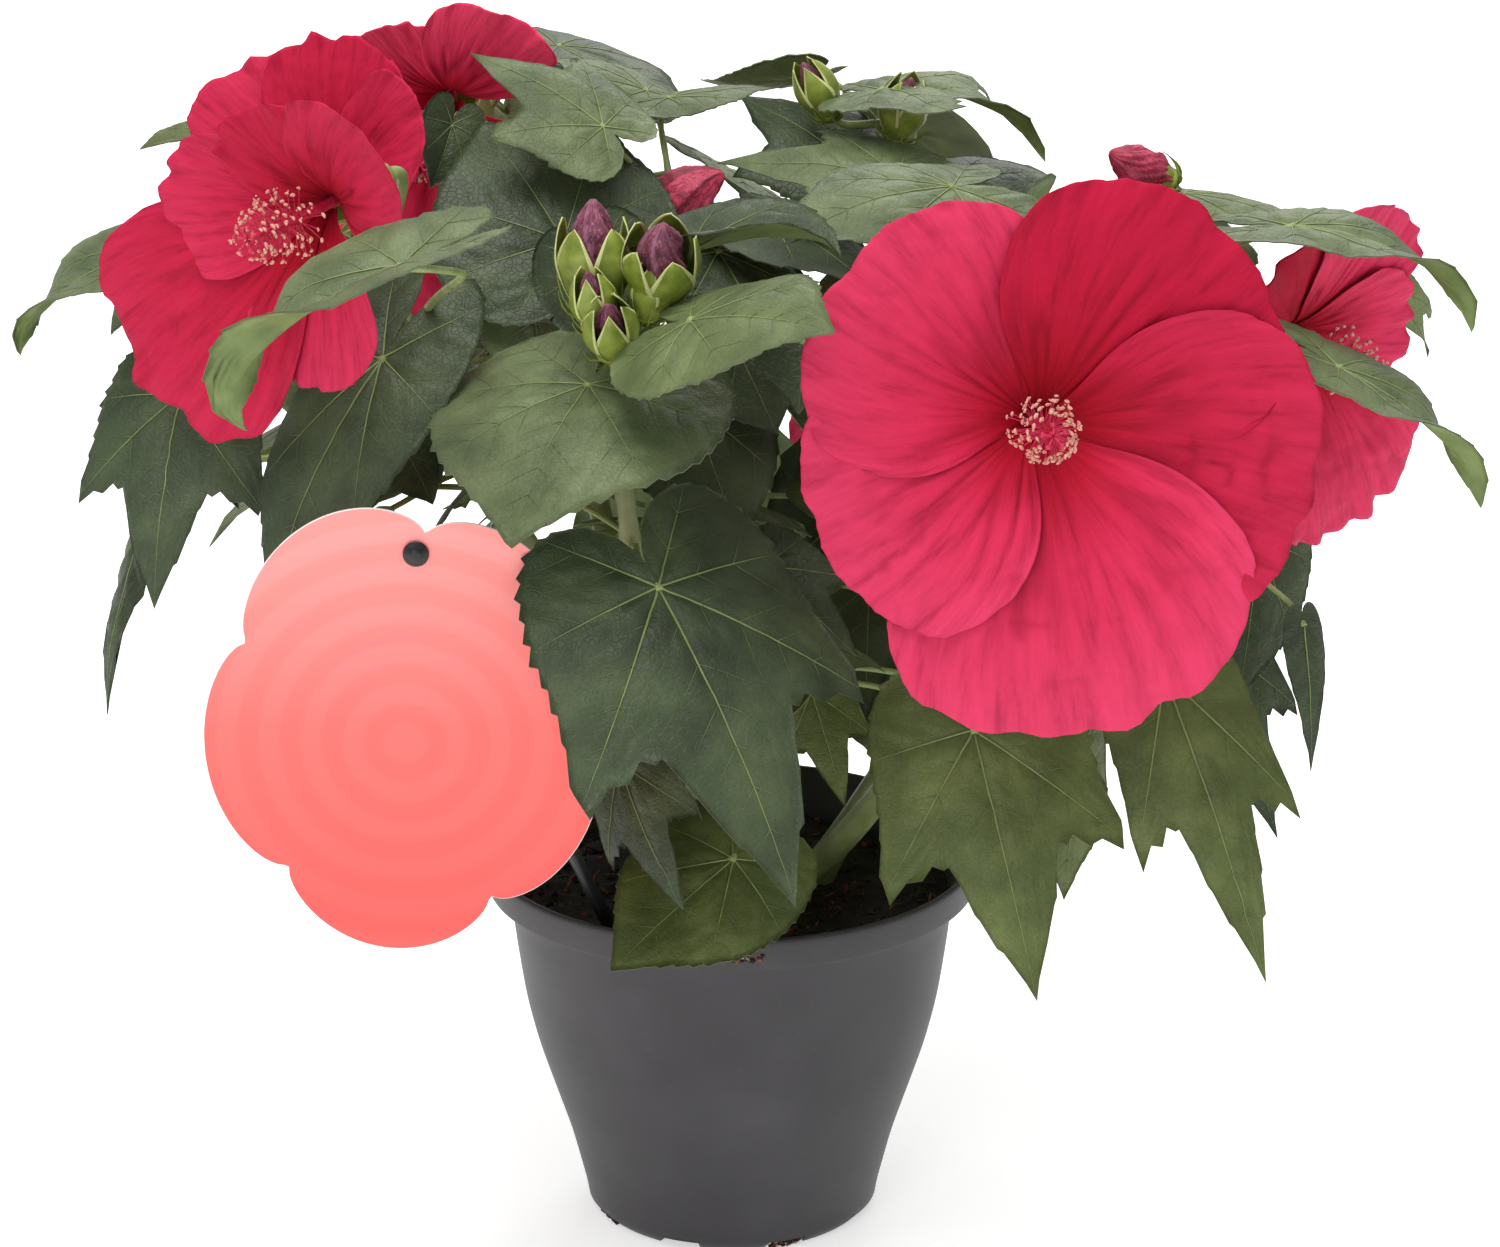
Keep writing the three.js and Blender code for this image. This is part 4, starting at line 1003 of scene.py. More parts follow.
LEAF_SHADES = [
    leaf_finish("leaf_grey_green", "#4d5b3a", "#5e6b46", "#6f7c55"),
    leaf_finish("leaf_fresh", "#4e5c35", "#5e6c41", "#6f7d50"),
    leaf_finish("leaf_deep", "#2f3a25", "#3c492f", "#4b583a", 0.46),
    leaf_finish("leaf_low", "#434f22", "#535f2d", "#64703b"),
]
UNDER = len(LEAF_SHADES)
VEIN = UNDER + 1
SIDE_VEIN = UNDER + 2
LEAF_LOOKS = [
    *LEAF_SHADES,
    mottled("leaf_underside", "#5a6b38", "#6a7b44", "#7a8b51", 14, 0.6, 0.1, 0.9),
    mottled("leaf_vein", "#6f7c4a", "#7d8a54", "#8c9862", 8, 0.5, 0.03, 0.6),
    mottled("side_vein", "#55623d", "#616e47", "#6d7a52", 8, 0.5, 0.03, 0.6),
]
STALK_GREEN = mottled("stalk_green", "#71824c", "#869659", "#9aa86b", 9, 0.48, 0.06, 0.7)
SEPAL_GREEN = mottled("sepal_green", "#667726", "#7f8f34", "#98a54a", 7, 0.45, 0.08, 0.8)
SEPAL_EDGE = mottled("sepal_edge", "#b6be76", "#c5cb88", "#d2d69c", 5, 0.5, 0.03, 0.6)
ROLLED_MAROON = mottled("rolled_maroon", "#552338", "#733349", "#8d4a5d", 4, 0.55, 0.15, 0.7)
ROLLED_ROSE = mottled("rolled_rose", "#86142f", "#ae2a4a", "#c44a66", 6, 0.55, 0.2, 0.9)
# Lighter maroon along the pleats' ridges: painted highlight.
MAROON_RIDGE_HIGHLIGHT = mottled("maroon_line", "#7a4258", "#905770", "#a36d84", 4, 0.55, 0.1, 0.7)
ROSE_LINE = mottled("rose_line", "#6e0c26", "#841a38", "#9a2c4a", 6, 0.6, 0.1, 0.7)
FILAMENT_RED = mottled("filament_red", "#a30c33", "#bf1c44", "#d2365a", 3, 0.5, 0.03, 0.5)
ANTHER_CREAM = mottled("anther_cream", "#b47163", "#d0917f", "#e6b7a2", 1.2, 0.75, 0.12, 0.4)
STEM_BARK = mottled("stem_bark", "#66733f", "#7b8753", "#909b6b", 12, 0.5, 0.15, 1.2)
SOIL_DARK = mottled("soil_dark", "#080504", "#100b08", "#1c1410", 3, 0.95, 0.5, 1.0)
SOIL_RED = mottled("soil_red", "#4a2418", "#6b3a28", "#85503a", 2, 0.9, 0.3, 0.8)
SOIL_PALE = mottled("soil_pale", "#8a8178", "#a89f94", "#c4bcb0", 2, 0.9, 0.3, 0.8)
SOIL_CRUMB = mottled("soil_crumb", "#120c09", "#1f1612", "#33271f", 2, 0.92, 0.3, 0.8)
STICK_BLACK = mottled("stick_black", "#0e0e10", "#151517", "#202024", 20, 0.38, 0.02, 0.8)
CARD_EDGE = mottled("card_edge", "#e8dcd8", "#f2e9e6", "#faf4f2", 6, 0.6, 0.02, 0.5)
POT_PLASTIC = pot_finish()
CARD_PRINT = card_finish()
PETAL = petal_finish("petal_rose", ("#7c0012", "#9c061c", "#ac0b2d", "#b00f33"),
                     ("#8c0016", "#b2132e", "#d02c52", "#d83c63"))

# The same petals with light shining through them.
PETAL_LIT = petal_finish("petal_rose_lit", ("#8c0016", "#b8082a", "#e01845", "#ec2354"),
                         ("#9c001a", "#d01838", "#f03462", "#f8466e"))


# Flowers.
class Bloom:
    """An open flower's frame, and the points of its petals."""

    def __init__(self, flower):
        self.name, self.radius, self.cup = flower["name"], flower["radius"], flower["cup"]
        self.petals, self.stem, self.start = flower["petals"], flower["stem"], flower["start"]
        self.lit_tones = flower.get("lit_tones", (0.35, 0.2, 0.5, 0.3, 0.6))
        self.throat = vec(flower["throat"])
        self.axis = unit(vec(flower["axis"]))
        self.up = unit(UP - self.axis * self.axis[2])
        self.right = np.cross(self.up, self.axis)

    def way(self, turn):
        """The direction at an angle round the axis."""
        return self.right * math.cos(turn) + self.up * math.sin(turn)

    def petal(self, row, u, v, seed, lift=0.0):
        """Points of a petal, and how creased each is: u from 0 at the throat, v from -1 to 1 across."""
        middle, long = row[:2]
        widest = row[2] if len(row) > 2 else PETAL_SPREAD
        half = widest * (0.8 + 0.26 * np.sin(math.pi * u ** 0.8) + 0.14 * u)
        # The rim is ruffled and finely nicked.
        place = joined(u * 4, v * 5, 11.0 * seed)
        ruffle = value_noise(place * vec(0.2, 1.5, 1), 1.0, seed)
        nick = value_noise(place * vec(0.2, 9.5, 1), 1.0, seed + 3)
        far = self.radius * long * (1 - 0.05 * v ** 2 - 0.25 * v ** 4)
        far = far * (1 + u ** 4 * (0.022 * ruffle + 0.005 * nick))
        r = 1.5 + (far - 1.5) * u
        angle = (middle + v * half) * RAD
        # From the throat's bowl the petal cups and turns back, and one edge lies over the next petal.
        out = r / self.radius
        height = THROAT_DEPTH * (1 - np.exp(-r / 20)) + self.cup * out ** 2 - 5 * out ** 5
        height += 2.3 * v * np.sqrt(u) * (1 - 0.3 * u) + lift - THROAT_DEPTH * 0.25
        right, up = r * np.cos(angle), r * np.sin(angle)
        # Folds run out from the throat, and the outer part is puckered, with sharper crumples.
        whole = joined(right, up, 0)
        fan = value_noise(joined(v * 6, u * 1.1, seed), 1.0, seed + 5)
        folds = np.exp(-(fan / 0.2) ** 2) * np.exp(-((u - 0.4) / 0.24) ** 2)
        pucker = np.clip((out - 0.35) * 3, 0, 1) * np.clip(0.45 + 1.5 * value_noise(whole, 34, 2), 0, 1)
        bumps = value_noise(whole * vec(1, 1.3, 1), 12, 9)
        crumple = pucker * np.exp(-(bumps / 0.2) ** 2) * np.clip(1.8 * value_noise(whole, 9, 31), 0, 1)
        height += 1.6 * value_noise(whole, 34, 3) * np.sqrt(u) - 1.2 * folds
        height += pucker * (1.5 * np.abs(bumps) + 0.9 * np.abs(value_noise(whole, 6.5, 4))) - 0.8 * crumple
        height += 3 * u ** 5 * ruffle
        flat = self.throat + np.outer(right, self.right) + np.outer(up, self.up)
        # How creased each point is, which the finish paints darker as shade in the folds.
        return flat + np.outer(height, self.axis), np.clip(0.7 * folds + 0.6 * crumple, 0, 1)


def add_petals(sheaf, bloom, long_cells, wide_cells):
    for index, row in enumerate(bloom.petals):
        seed = 17 * index + len(bloom.name)
        u = np.repeat(np.linspace(0.02, 1, long_cells), wide_cells)
        v = np.tile(np.linspace(-1, 1, wide_cells), long_cells)
        # The crease values carry painted shade into the petal's folds.
        front, crease = bloom.petal(row, u, v, seed, PETAL_SHELL / 2)
        back, crease = bloom.petal(row, u, v, seed, -PETAL_SHELL / 2)
        net = cut(grid_faces(long_cells, wide_cells, False))
        edge = edge_faces(long_cells, wide_cells)
        # Each petal carries one tone of painted light and shade.
        sheaf.add(np.concatenate([front, back]), [net[:, ::-1], net + len(u), edge],
                  reach=np.tile(u, 2), sweep=np.tile(v, 2), petal=float(index), tone=bloom.lit_tones[index],
                  crease=np.tile(crease, 2))


def add_column(parts, bloom, seed):
    """The column of stamens, and the five styles at its end."""
    filaments, anthers = parts
    draw = random_from(seed)
    low, high = -6, 42
    h = np.linspace(low, high, 18)
    bow = 1.6 * ((h - low) / (high - low)) ** 2
    core = bloom.throat + np.outer(h, bloom.axis) + np.outer(bow, bloom.up)
    filaments.add(*tube(core, np.linspace(2.1, 1.0, 18), 10))
    for k in range(STAMENS):
        share = (k + next(draw)) / STAMENS
        way = bloom.way(k * GOLDEN_TURN + 0.5 * next(draw))
        root = bloom.throat + bloom.axis * (16 + 23 * share) + bloom.up * 1.2 * share
        long = (9 + 4.5 * next(draw)) * (1 - 0.3 * share ** 2)
        lean = unit(way + bloom.axis * (0.1 + 0.5 * share))
        end = root + lean * long
        filaments.add(*tapered(5, 4, 0.26, 0.16, root, root + way * long * 0.5, end))
        size = 0.62 + 0.3 * next(draw)
        beside = unit(np.cross(lean, bloom.axis) + 0.3 * way)
        t = np.linspace(-1, 1, 5)
        bean = end + np.outer(t * size * 1.15, beside) + np.outer(0.5 * t ** 2 * size, bloom.axis)
        anthers.add(*tube(bean, size * np.sqrt(np.maximum(0.12, 1 - t ** 2)) * 0.8, 6))
        if next(draw) < 0.7:
            grain = end + (vec(next(draw), next(draw), next(draw)) - 0.5) * 2.4
            anthers.add(*turned([(0, -0.35), (0.32, -0.2), (0.32, 0.2), (0, 0.35)], 5, grain, lean))
    tip = core[-1]
    for k in range(STYLES):
        way = bloom.way(k * 360 / STYLES * RAD + 0.4)
        end = tip + bloom.axis * 3.5 + way * 4.2
        filaments.add(*tapered(6, 6, 0.45, 0.45, tip - bloom.axis, tip + bloom.axis * 3, end))
        profile = [(0, -0.9), (0.8, -0.55), (1.15, 0), (0.8, 0.6), (0, 0.9)]
        filaments.add(*turned(profile, 8, end, way))


def add_sepals(sheaf, foot, axis, radius, long, open_by, start_turn):
    """A ring of pointed sepals with pale edges, joined in a cup below and free above."""
    axis, across, side = square_to(axis)
    rows, columns = 15, 11
    u = np.repeat(np.linspace(0, 1, rows), columns)
    v = np.tile(np.linspace(-1, 1, columns), rows)
    for k in range(SEPALS):
        free = np.clip((u - 0.48) / 0.52, 0, 1)
        half = 180 / SEPALS * 1.2 * np.clip(1 - free ** 1.25, 0.0009, 1) ** 0.62 * RAD
        turn = start_turn + k * 2 * math.pi / SEPALS + v * half
        bulge = np.sin(np.minimum(1, u * 1.25 + 0.12) * math.pi / 2) ** 0.8
        closing = 1 - 0.42 * free ** 1.5 + open_by * free
        keel = 0.5 * (1 - np.abs(v)) + 0.35 * np.abs(v) ** 4
        overlap = 0.3 * v
        r = radius * bulge * closing + keel + overlap
        way = about(turn, across, side)
        sides = [foot + np.outer(long * u, axis) + way * (r + lift)[:, None] for lift in (0.22, -0.22)]
        net = grid_faces(rows, columns, False)
        back = net[:, ::-1] + len(u)
        edge = edge_faces(rows, columns)[:, ::-1]
        column = np.arange(len(net)) % (columns - 1)
        upper = np.arange(len(net)) // (columns - 1) > 0.35 * rows
        pale = ((column == 0) | (column == columns - 2)) & upper
        green, light = 0, 1
        sheaf.add_kinds(np.concatenate(sides), [
            (net[~pale], green), (net[pale], light), (back[~pale], green), (back[pale], light), (edge, light),
        ])


def add_bracts(sheaf, foot, axis, radius, long, seed):
    """The thin bracts that stand round the foot of a calyx."""
    axis, across, side = square_to(axis)
    draw = random_from(seed)
    for k in range(BRACTS):
        turn = (k + 0.4 * next(draw)) * (360 / BRACTS) * RAD
        way = across * math.cos(turn) + side * math.sin(turn)
        reach = long * (0.75 + 0.4 * next(draw))
        root = foot + way * radius * 0.25 + axis * 1.2
        tip = root + way * (radius * 1.25) + axis * reach
        sheaf.add(*tapered(7, 4, 0.75, 0.12, root, root + way * radius * 1.1, tip))


# The lines are lighter on the maroon buds, a painted highlight along the pleats' ridges, and darker on the
# rose ones.
LINES = 2                     # from the number of a rolled petal's material to that of its lines


def add_rolled(sheaf, foot, axis, radius, low, high, twist, kind, seed):
    """Rolled petals: a spindle with spiral pleats."""
    axis = unit(axis)
    rings, sides = 30, 70
    turn = round_turn(sides)
    centres = []
    radii = []
    lines = []
    for k in range(rings):
        t = k / (rings - 1)
        body = radius * math.sin(math.pi * (0.16 + 0.8 * t)) ** 0.8 * (1 - 0.2 * t ** 5)
        spiral = turn * 5 + twist * t * 2 * math.pi + 0.5 * math.sin(6 * t + seed)
        saw = (spiral / (2 * math.pi)) % 1
        pleat = 0.26 * (saw ** 2 - 0.35) + 0.05 * np.sin(spiral * 3 + 9 * t)
        lumps = value_noise(joined(turn * 4, t * 9, seed), 1.0, seed)
        centres.append(foot + axis * (low + (high - low) * t))
        radii.append(np.maximum(0.4, body * (1 + pleat + 0.05 * lumps)))
        # Faces along the pleats' edges and some streaks take the line colours: painted highlight on the
        # maroon ridges.
        lines.append((saw > 0.86) | ((spiral * 4 / (2 * math.pi) + 0.7 * lumps) % 1 > 0.84))
    points, (body, *ends) = tube(centres, radii, sides)
    on_line = np.concatenate(lines[:-1])
    ends = [(end, kind) for end in ends]
    sheaf.add_kinds(points, [(body[~on_line], kind), *ends, (body[on_line], kind + LINES)])


def make_flowers():
    filaments = Sheaf()
    anthers = Sheaf()
    calyces = Sheaf()
    for index, flower in enumerate(FLOWERS):
        bloom = Bloom(flower)
        petals = Sheaf("reach", "sweep", "petal", "tone", "crease")
        cells = (58, 76) if bloom.name == "flower_front" else (38, 48)
        add_petals(petals, bloom, *cells)
        look = PETAL_LIT if bloom.name == "flower_back_left" else PETAL
        petals.make(f"petals_{bloom.name[7:]}", [look], [bloom.name])
        add_column((filaments, anthers), bloom, 300 + index)
        foot = bloom.throat - bloom.axis * CALYX_LENGTH
        add_sepals(calyces, foot + bloom.axis * 3, bloom.axis, 9.5, 30, 0.55, index * 0.7)
        add_bracts(calyces, foot + bloom.axis * 3, bloom.axis, 7, 16, 70 + index)
        calyces.add(*turned(CALYX_CUP, 20, foot, bloom.axis))
    filaments.make("stamens", [FILAMENT_RED])
    anthers.make("anthers", [ANTHER_CREAM])
    calyces.make("calyces", [SEPAL_GREEN, SEPAL_EDGE])


# For each look of a bud: its sepals' radius, length and opening, then its rolled petals' radius, foot,
# end, turns and material. Radii are shares of the bud's radius, and lengths shares of its length.
BUD_LOOKS = {
    "rolled": (0.72, 0.42, 0.1, 1, 0.12, 1, 0.9, 1),
    "maroon": (1.2, 0.86, 0.22, 0.7, 0.3, 1.04, 0.8, 0),
    "closed": (1.12, 0.94, -0.12, 0.5, 0.3, 0.94, 0.5, 0),
}


def make_buds():
    sepals = Sheaf()
    rolled = Sheaf()
    for index, (_, _, foot, point, long, look) in enumerate(BUDS):
        axis = unit(vec(point))
        foot = vec(foot)
        radius = long * 0.27
        seed = 40 + index
        wide, tall, open_by, thick, low, high, turns, kind = BUD_LOOKS[look]
        add_sepals(sepals, foot, axis, radius * wide, long * tall, open_by, index)
        add_rolled(rolled, foot, axis, radius * thick, long * low, long * high, turns, kind, seed)
        add_bracts(sepals, foot - axis * 1.5, axis, radius * 0.8, long * 0.35, seed)
        sepals.add(*turned([(0, -1), (radius * 0.4, 0.5), (radius * 0.7, 3), (0, 6)], 16, foot, axis))
    sepals.make("bud_sepals", [SEPAL_GREEN, SEPAL_EDGE])
    rolled.make("bud_petals", [ROLLED_MAROON, ROLLED_ROSE, MAROON_RIDGE_HIGHLIGHT, ROSE_LINE])


# Stems and foliage.
def stem_line(name, leaves):
    """A stem's centres and radii, with a knuckle where each leaf leaves it."""
    t = np.linspace(0, 1, 90)
    turn = round_turn(STEM_SIDES)
    radius = stem_radius(t)
    for start in sorted({leaf.start for leaf in leaves if leaf.stem == name}):
        radius = radius + 0.55 * np.exp(-((t - start) / 0.009) ** 2)
    ridges = 1 + 0.03 * np.cos(5 * turn[None, :] + 4 * t[:, None]) + 0.012 * np.cos(13 * turn[None, :])
    return CURVES[name].at(t), radius[:, None] * ridges


LOW = 235                     # a leaf of the rule whose tip is lower is mostly of the low shade
LOW_SHADE = 3                 # of LEAF_SHADES
LONG_LEAF = 60
BLADE_CELLS = {"large": (96, 14), "shown": (72, 9), "inner": (48, 6)}    # round a blade, and outwards


def make_foliage():
    leaves = kept_leaves() + fine_leaves()
    stems = Sheaf()
    for name in STEMS:
        stems.add(*tube(*stem_line(name, leaves), STEM_SIDES))
    stems.make("stems", [STEM_BARK], [f"bough_{name}" for name in STEMS])
    stalks = Sheaf()
    draw = random_from(61)
    for stem in STEMS:
        sheaf = Sheaf()
        own = [leaf for leaf in leaves if leaf.stem == stem]
        for index, leaf in enumerate(own):
            low = leaf.tip[2] < LOW
            shade = LOW_SHADE if low and next(draw) < 0.7 else int(next(draw) * 3)
            if leaf.shade is not None:
                shade = leaf.shade
            elif not leaf.shows and next(draw) < 0.4:
                leaf.roll = 30 + 90 * next(draw)
            size = "inner" if not leaf.shows else "large" if leaf.length > LONG_LEAF else "shown"
            add_blade(sheaf, leaf, index + 3 * len(stem), shade, *BLADE_CELLS[size])
            add_stalk(stalks, leaf.stalk(), PETIOLE_RADIUS * (1 if leaf.chord > LONG_LEAF else 0.78))
        sheaf.make(f"leaves_{stem}", LEAF_LOOKS, [f"foliage_{stem}"])
    for flower in FLOWERS:
        bloom = Bloom(flower)
        end = bloom.throat - bloom.axis * (CALYX_LENGTH + GAP)
        path = stalk_path(CURVES[bloom.stem], bloom.start, end, bloom.axis)
        add_stalk(stalks, path, PEDICEL_RADIUS, 24, 12)
    for stem, start, foot, point, *_ in BUDS:
        axis = unit(vec(point))
        path = stalk_path(CURVES[stem], start, vec(foot) + axis * 1.5, axis)
        add_stalk(stalks, path, PETIOLE_RADIUS * 1.15)
    stalks.make("stalks", [STALK_GREEN])
    print("leaves", sum(leaf.shows for leaf in leaves), "shown,", len(leaves), "in all")


# Pot, soil, card and stick.
POT_SIDE = [(56, 4), (60, 20), (63, 32), (69, 50), (75.6, 70), (80, 88), (83, 108), (85, 124)]


def smoothed(profile, steps):
    """A smooth line through the points of a profile, for the pot's side."""
    points = vec(profile)
    heights = np.linspace(points[0][1], points[-1][1], steps)
    coarse = np.interp(heights, points[:, 1], points[:, 0])
    reach = 4
    kernel = np.hanning(2 * reach + 1)
    padded = np.concatenate([coarse[:1].repeat(reach), coarse, coarse[-1:].repeat(reach)])
    return list(zip(np.convolve(padded, kernel / kernel.sum(), mode="valid"), heights))


def make_pot():
    """A turned pot with a rolled rim. Its slots are notches that rise from its foot, in degrees and mm."""
    top = POT_HEIGHT
    skirt = top - RIM_DEPTH
    underside = [(0, 1.2), (40, 1.2), (46.5, 1.2), (47.5, 0), (52.2, 0), (53, 0.5)]
    lip = [
        (85.8, 128), (86.6, 132), (87.6, skirt - 0.4), (93.6, skirt - 0.4), (94.2, skirt), (94.5, skirt + 1),
        (RIM_RADIUS, top - 3.5), (RIM_RADIUS, top - 1.6), (94.7, top - 0.6), (94, top), (93, top),
        (92.2, top - 0.5), (91.6, top - 1.6), (91, top - 6),
    ]
    inside = [(86, skirt + 1), (84.9, skirt - 2), (83.3, 124), (82.4, 118), (0, 118)]
    points, faces = turned([*underside, *smoothed(POT_SIDE, 40), *lip, *inside], 192, (0, 0, 0), UP)
    angle = np.degrees(np.arctan2(points[:, 1], points[:, 0]))
    off = np.abs(angle % (360 / DRAIN_SLOTS) - 180 / DRAIN_SLOTS)
    radius = np.hypot(points[:, 0], points[:, 1])
    slot_half, slot_from, slot_top = 7.6, 47, 3.9
    in_slot = (off < slot_half) & (radius > slot_from) & (points[:, 2] < slot_top)
    points[in_slot, 2] = slot_top
    pot = Sheaf()
    pot.add(points, faces)
    pot.make("pot_shell", [POT_PLASTIC], ["pot"])


def crumb(size, place, axis):
    """A crumb of soil, turned about an axis of its own."""
    profile = [(0, -0.5 * size), (0.55 * size, -0.3 * size), (0.6 * size, 0.25 * size), (0, 0.5 * size)]
    return turned(profile, 6, place, axis)


DARK, RED, CRUMB, PALE = range(4)


def dealt(value, *kinds):
    """The kind whose limit is the first above a value."""
    return next(kind for limit, kind in kinds if value < limit)


# Crumbs outside the bed: how many, where from the front and how wide in degrees, radius and heights.
SPILLS = [
    (170, -63, 9, 53.4, 1.4, 5),
    (70, 22.5, 9, 54, 1.4, 4),
    (90, 4, 4, 94.2, 138, 146.4),
]


def add_crumbs(soil, bed, draw):
    """Crumbs and short fibres strewn over the bed."""
    for _ in range(CRUMBS):
        radius = 83 * math.sqrt(next(draw))
        angle = 2 * math.pi * next(draw)
        spot = Vector((radius * math.cos(angle), radius * math.sin(angle), SOIL_TOP + 30))
        hit = bed.ray_cast(spot, Vector((0, 0, -1)))[0]
        size = 0.5 + 2.2 * next(draw) ** 3
        axis = vec(next(draw) - 0.5, next(draw) - 0.5, 0.6 * (next(draw) - 0.5) + 0.05)
        if next(draw) < 0.25:
            long = size * (2 + 3 * next(draw))
            line = vec(hit) + np.outer(np.linspace(-0.5, 0.5, 4) * long, unit(axis)) + UP * size * 0.3
            form, faces = tube(line, vec(0.2, 0.36, 0.34, 0.15) * size, 5)
            soil.add(form, faces, dealt(next(draw), (0.4, RED), (1, CRUMB)))
        else:
            form, faces = crumb(size, hit, axis)
            form = form + 0.25 * size * value_noise(form * 7, 1.0, 5)[:, None]
            soil.add(form, faces, dealt(next(draw), (0.16, RED), (0.8, CRUMB), (1, DARK)))


def add_spills(soil, draw):
    for count, toward, spread, radius, low, high in SPILLS:
        for _ in range(count):
            angle = (toward + spread * (next(draw) + next(draw) - 1)) * RAD
            out = radius + 1.6 * (next(draw) - 0.5)
            height = low + (high - low) * next(draw) ** 1.5
            size = 0.7 + 1.5 * next(draw) ** 2
            axis = vec(next(draw) - 0.5, next(draw) - 0.5, next(draw) - 0.4)
            place = vec(out * math.sin(angle), -out * math.cos(angle), height)
            soil.add(*crumb(size, place, axis), dealt(next(draw), (0.35, RED), (0.9, CRUMB), (1, PALE)))


def make_soil():
    rings, sides = 46, 150
    share = np.linspace(0.02, 1, rings)
    r = np.repeat(share * SOIL_RADIUS, sides)
    a = np.tile(round_turn(sides), rings)
    x, y = r * np.cos(a), r * np.sin(a)
    flat = np.interp(r, [0, 52, 70, SOIL_RADIUS], [SOIL_TOP, SOIL_TOP, SOIL_TOP + 1.5, SOIL_TOP - 1.5])
    place = joined(x, y, 0)
    rough = ((1.3, 13, 1), (0.9, 5.5, 2), (0.5, 2.6, 3))
    lumps = sum(height * value_noise(place, size, seed) for height, size, seed in rough)
    top = joined(x, y, flat + lumps - 0.6)
    middle = vec([[0, 0, SOIL_TOP]])
    skirt = top[-sides:] * vec(0.97, 0.97, 1) - vec(0, 0, 10)
    below = vec([[0, 0, SOIL_TOP - 12]])
    points = np.concatenate([top, skirt, middle, below])
    count = len(top)
    ring = np.arange(sides)
    body = grid_faces(rings + 1, sides, True)[:, ::-1]
    fan = flipped(fan_faces(ring, count + sides))[:, ::-1]
    base = fan_faces(count + ring, count + sides + 1)[:, ::-1]
    soil = Sheaf()
    soil.add(points, [body, fan, base], DARK)
    draw = random_from(909)
    add_crumbs(soil, searched(points, body), draw)
    add_spills(soil, draw)
    soil.make("soil_bed", [SOIL_DARK, SOIL_RED, SOIL_CRUMB, SOIL_PALE], ["soil"])


def make_card():
    """A flat card with five rounded lobes and a round hole, printed with plain rings of colour."""
    count = 240
    turned_by = 82 * RAD
    hole_radius = 2.7
    bevel = 0.25
    mean_radius = 75
    half = CARD_THICKNESS / 2
    angle = round_turn(count)
    lobe = np.abs(np.sin((CARD_LOBES / 2) * (angle - turned_by)))
    reach = 0.84 + 0.16 * np.sqrt(lobe)
    edge = joined(CARD_WIDTH / 2 * reach * np.cos(angle), CARD_HEIGHT / 2 * reach * np.sin(angle))
    hole_at = (CARD_HOLE - CARD_CENTRE)[[0, 2]]
    hole = hole_at + hole_radius * joined(np.cos(angle), np.sin(angle))

    def ring(flat, y):
        return joined(flat[:, 0], y, flat[:, 1]) + CARD_CENTRE

    inner_edge = edge * (1 - bevel / mean_radius)
    rings = [ring(inner_edge, -half), ring(edge, bevel - half), ring(edge, half - bevel),
             ring(inner_edge, half), ring(hole, -half), ring(hole, half)]
    flat = [[Vector((x, z, 0)) for x, z in inner_edge], [Vector((x, z, 0)) for x, z in hole]]
    fill = np.array(geometry.tessellate_polygon(flat))
    on_front = np.where(fill < count, fill, fill + 3 * count)
    on_back = np.where(fill < count, fill + 3 * count, fill + 4 * count)
    walls = grid_faces(4, count, True)
    bore = grid_faces(2, count, True) + 4 * count
    card = Sheaf()
    printed, bare = 0, 1
    groups = [(on_front, printed), (on_back, printed), (walls, bare), (bore, bare)]
    card.add_kinds(np.concatenate(rings), groups)
    card.make("card_sheet", [CARD_PRINT, CARD_EDGE], ["care_card"], smooth=False)


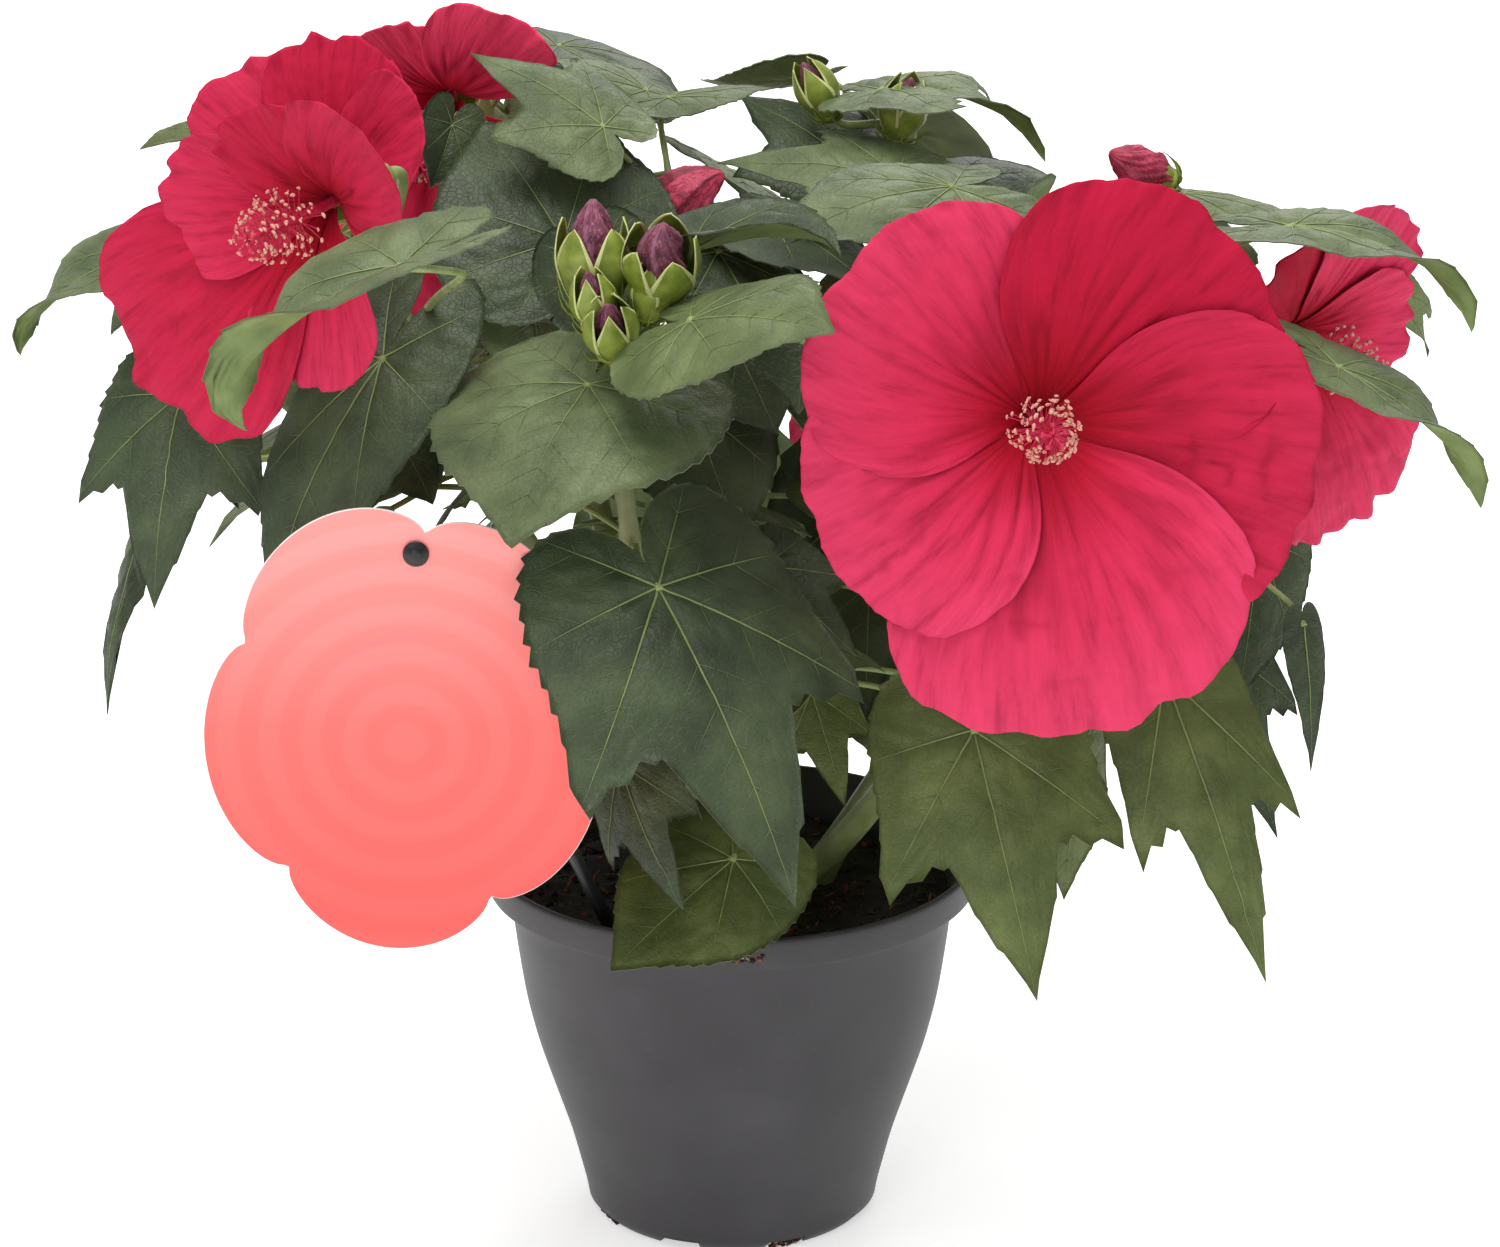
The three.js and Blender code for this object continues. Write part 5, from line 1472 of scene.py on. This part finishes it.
def make_stick():
    """A peg through the card's hole, and a four-ribbed stick from the soil to its back end."""
    behind = CARD_THICKNESS / 2 + GAP
    stick = Sheaf()
    front = (0, -1, 0)
    peg = [
        (2.4, 0), (4.1, 0), (4.6, 0.35), (4.6, 0.9), (4.2, 1.3), (2.8, 1.5), (2.3, 2.3), (1.2, 2.6), (0, 2.6),
    ]
    profile = [(0, -behind - 3), (2.4, -behind - 3), *[(r, behind + h) for r, h in peg]]
    stick.add(*turned(profile, 40, CARD_HOLE, front))
    head = CARD_HOLE + vec(0, behind + 2.4, 4)
    t = np.linspace(0, 1, 24)
    line = vec(-44, -56, SOIL_TOP + 1.9) * (1 - t)[:, None] + head * t[:, None]
    ribbed = 2.35 * (1 + 0.12 * np.cos(4 * round_turn(12)))
    stick.add(*tube(line, [ribbed * (1.08 - 0.16 * x) for x in t], 12))
    stick.make("stick_and_peg", [STICK_BLACK], ["card_stick"])


# Floor, light and camera.
def make_stage():
    half, steps = 9.0, 24
    line = np.linspace(-half, half, steps)
    x, y = np.meshgrid(line, line)
    points = joined(x.ravel(), y.ravel() + 2, 0)
    mesh = bpy.data.meshes.new("floor")
    mesh.from_pydata(points.tolist(), [], grid_faces(steps, steps, False).tolist())
    white = mottled("floor_white", "#f4f4f4", "#f6f6f6", "#f8f8f8", 90, 0.9, 0.02, 3,
                    Emission_Strength=0.5, Emission_Color=(1, 1, 1, 1))
    mesh.materials.append(white)
    placed("floor", mesh)


def area_light(name, place, aim, size, power, colour=(1, 1, 1)):
    light = bpy.data.lights.new(name, "AREA")
    light.shape = "DISK"
    light.size = size
    light.energy = power
    light.color = colour
    lamp = placed(name, light)
    lamp.location = place
    lamp.rotation_euler = (Vector(aim) - Vector(place)).to_track_quat("-Z", "Y").to_euler()


def make_light():
    world = bpy.data.worlds.new("studio")
    world.use_nodes = True
    background = world.node_tree.nodes["Background"].inputs
    background["Color"].default_value = (1, 1, 1, 1)
    background["Strength"].default_value = 0.54
    bpy.context.scene.world = world
    middle = (0, 0, 0.28)
    area_light("above", (-0.25, -0.5, 2.4), middle, 1.7, 43, (1, 0.99, 0.97))
    area_light("front", (-0.9, -2.4, 1.1), middle, 1.2, 11, (0.98, 0.99, 1))
    area_light("back", (0.4, 2.0, 1.6), middle, 1.4, 14)


def make_camera():
    """The photograph's view: 15 degrees wide, looking down by 19 degrees."""
    camera = bpy.data.cameras.new("photo_view")
    camera.sensor_width = 36
    camera.lens = 133.6
    camera.clip_end = 60
    eye = placed("photo_view", camera)
    eye.location = (0.007, -2.0, 0.934)
    eye.rotation_euler = (70.8 * RAD, 0, 0)
    bpy.context.scene.camera = eye


bpy.context.scene.view_settings.view_transform = "Standard"
make_camera()
make_light()
make_stage()
make_pot()
make_soil()
make_card()
make_stick()
make_flowers()
make_buds()
make_foliage()
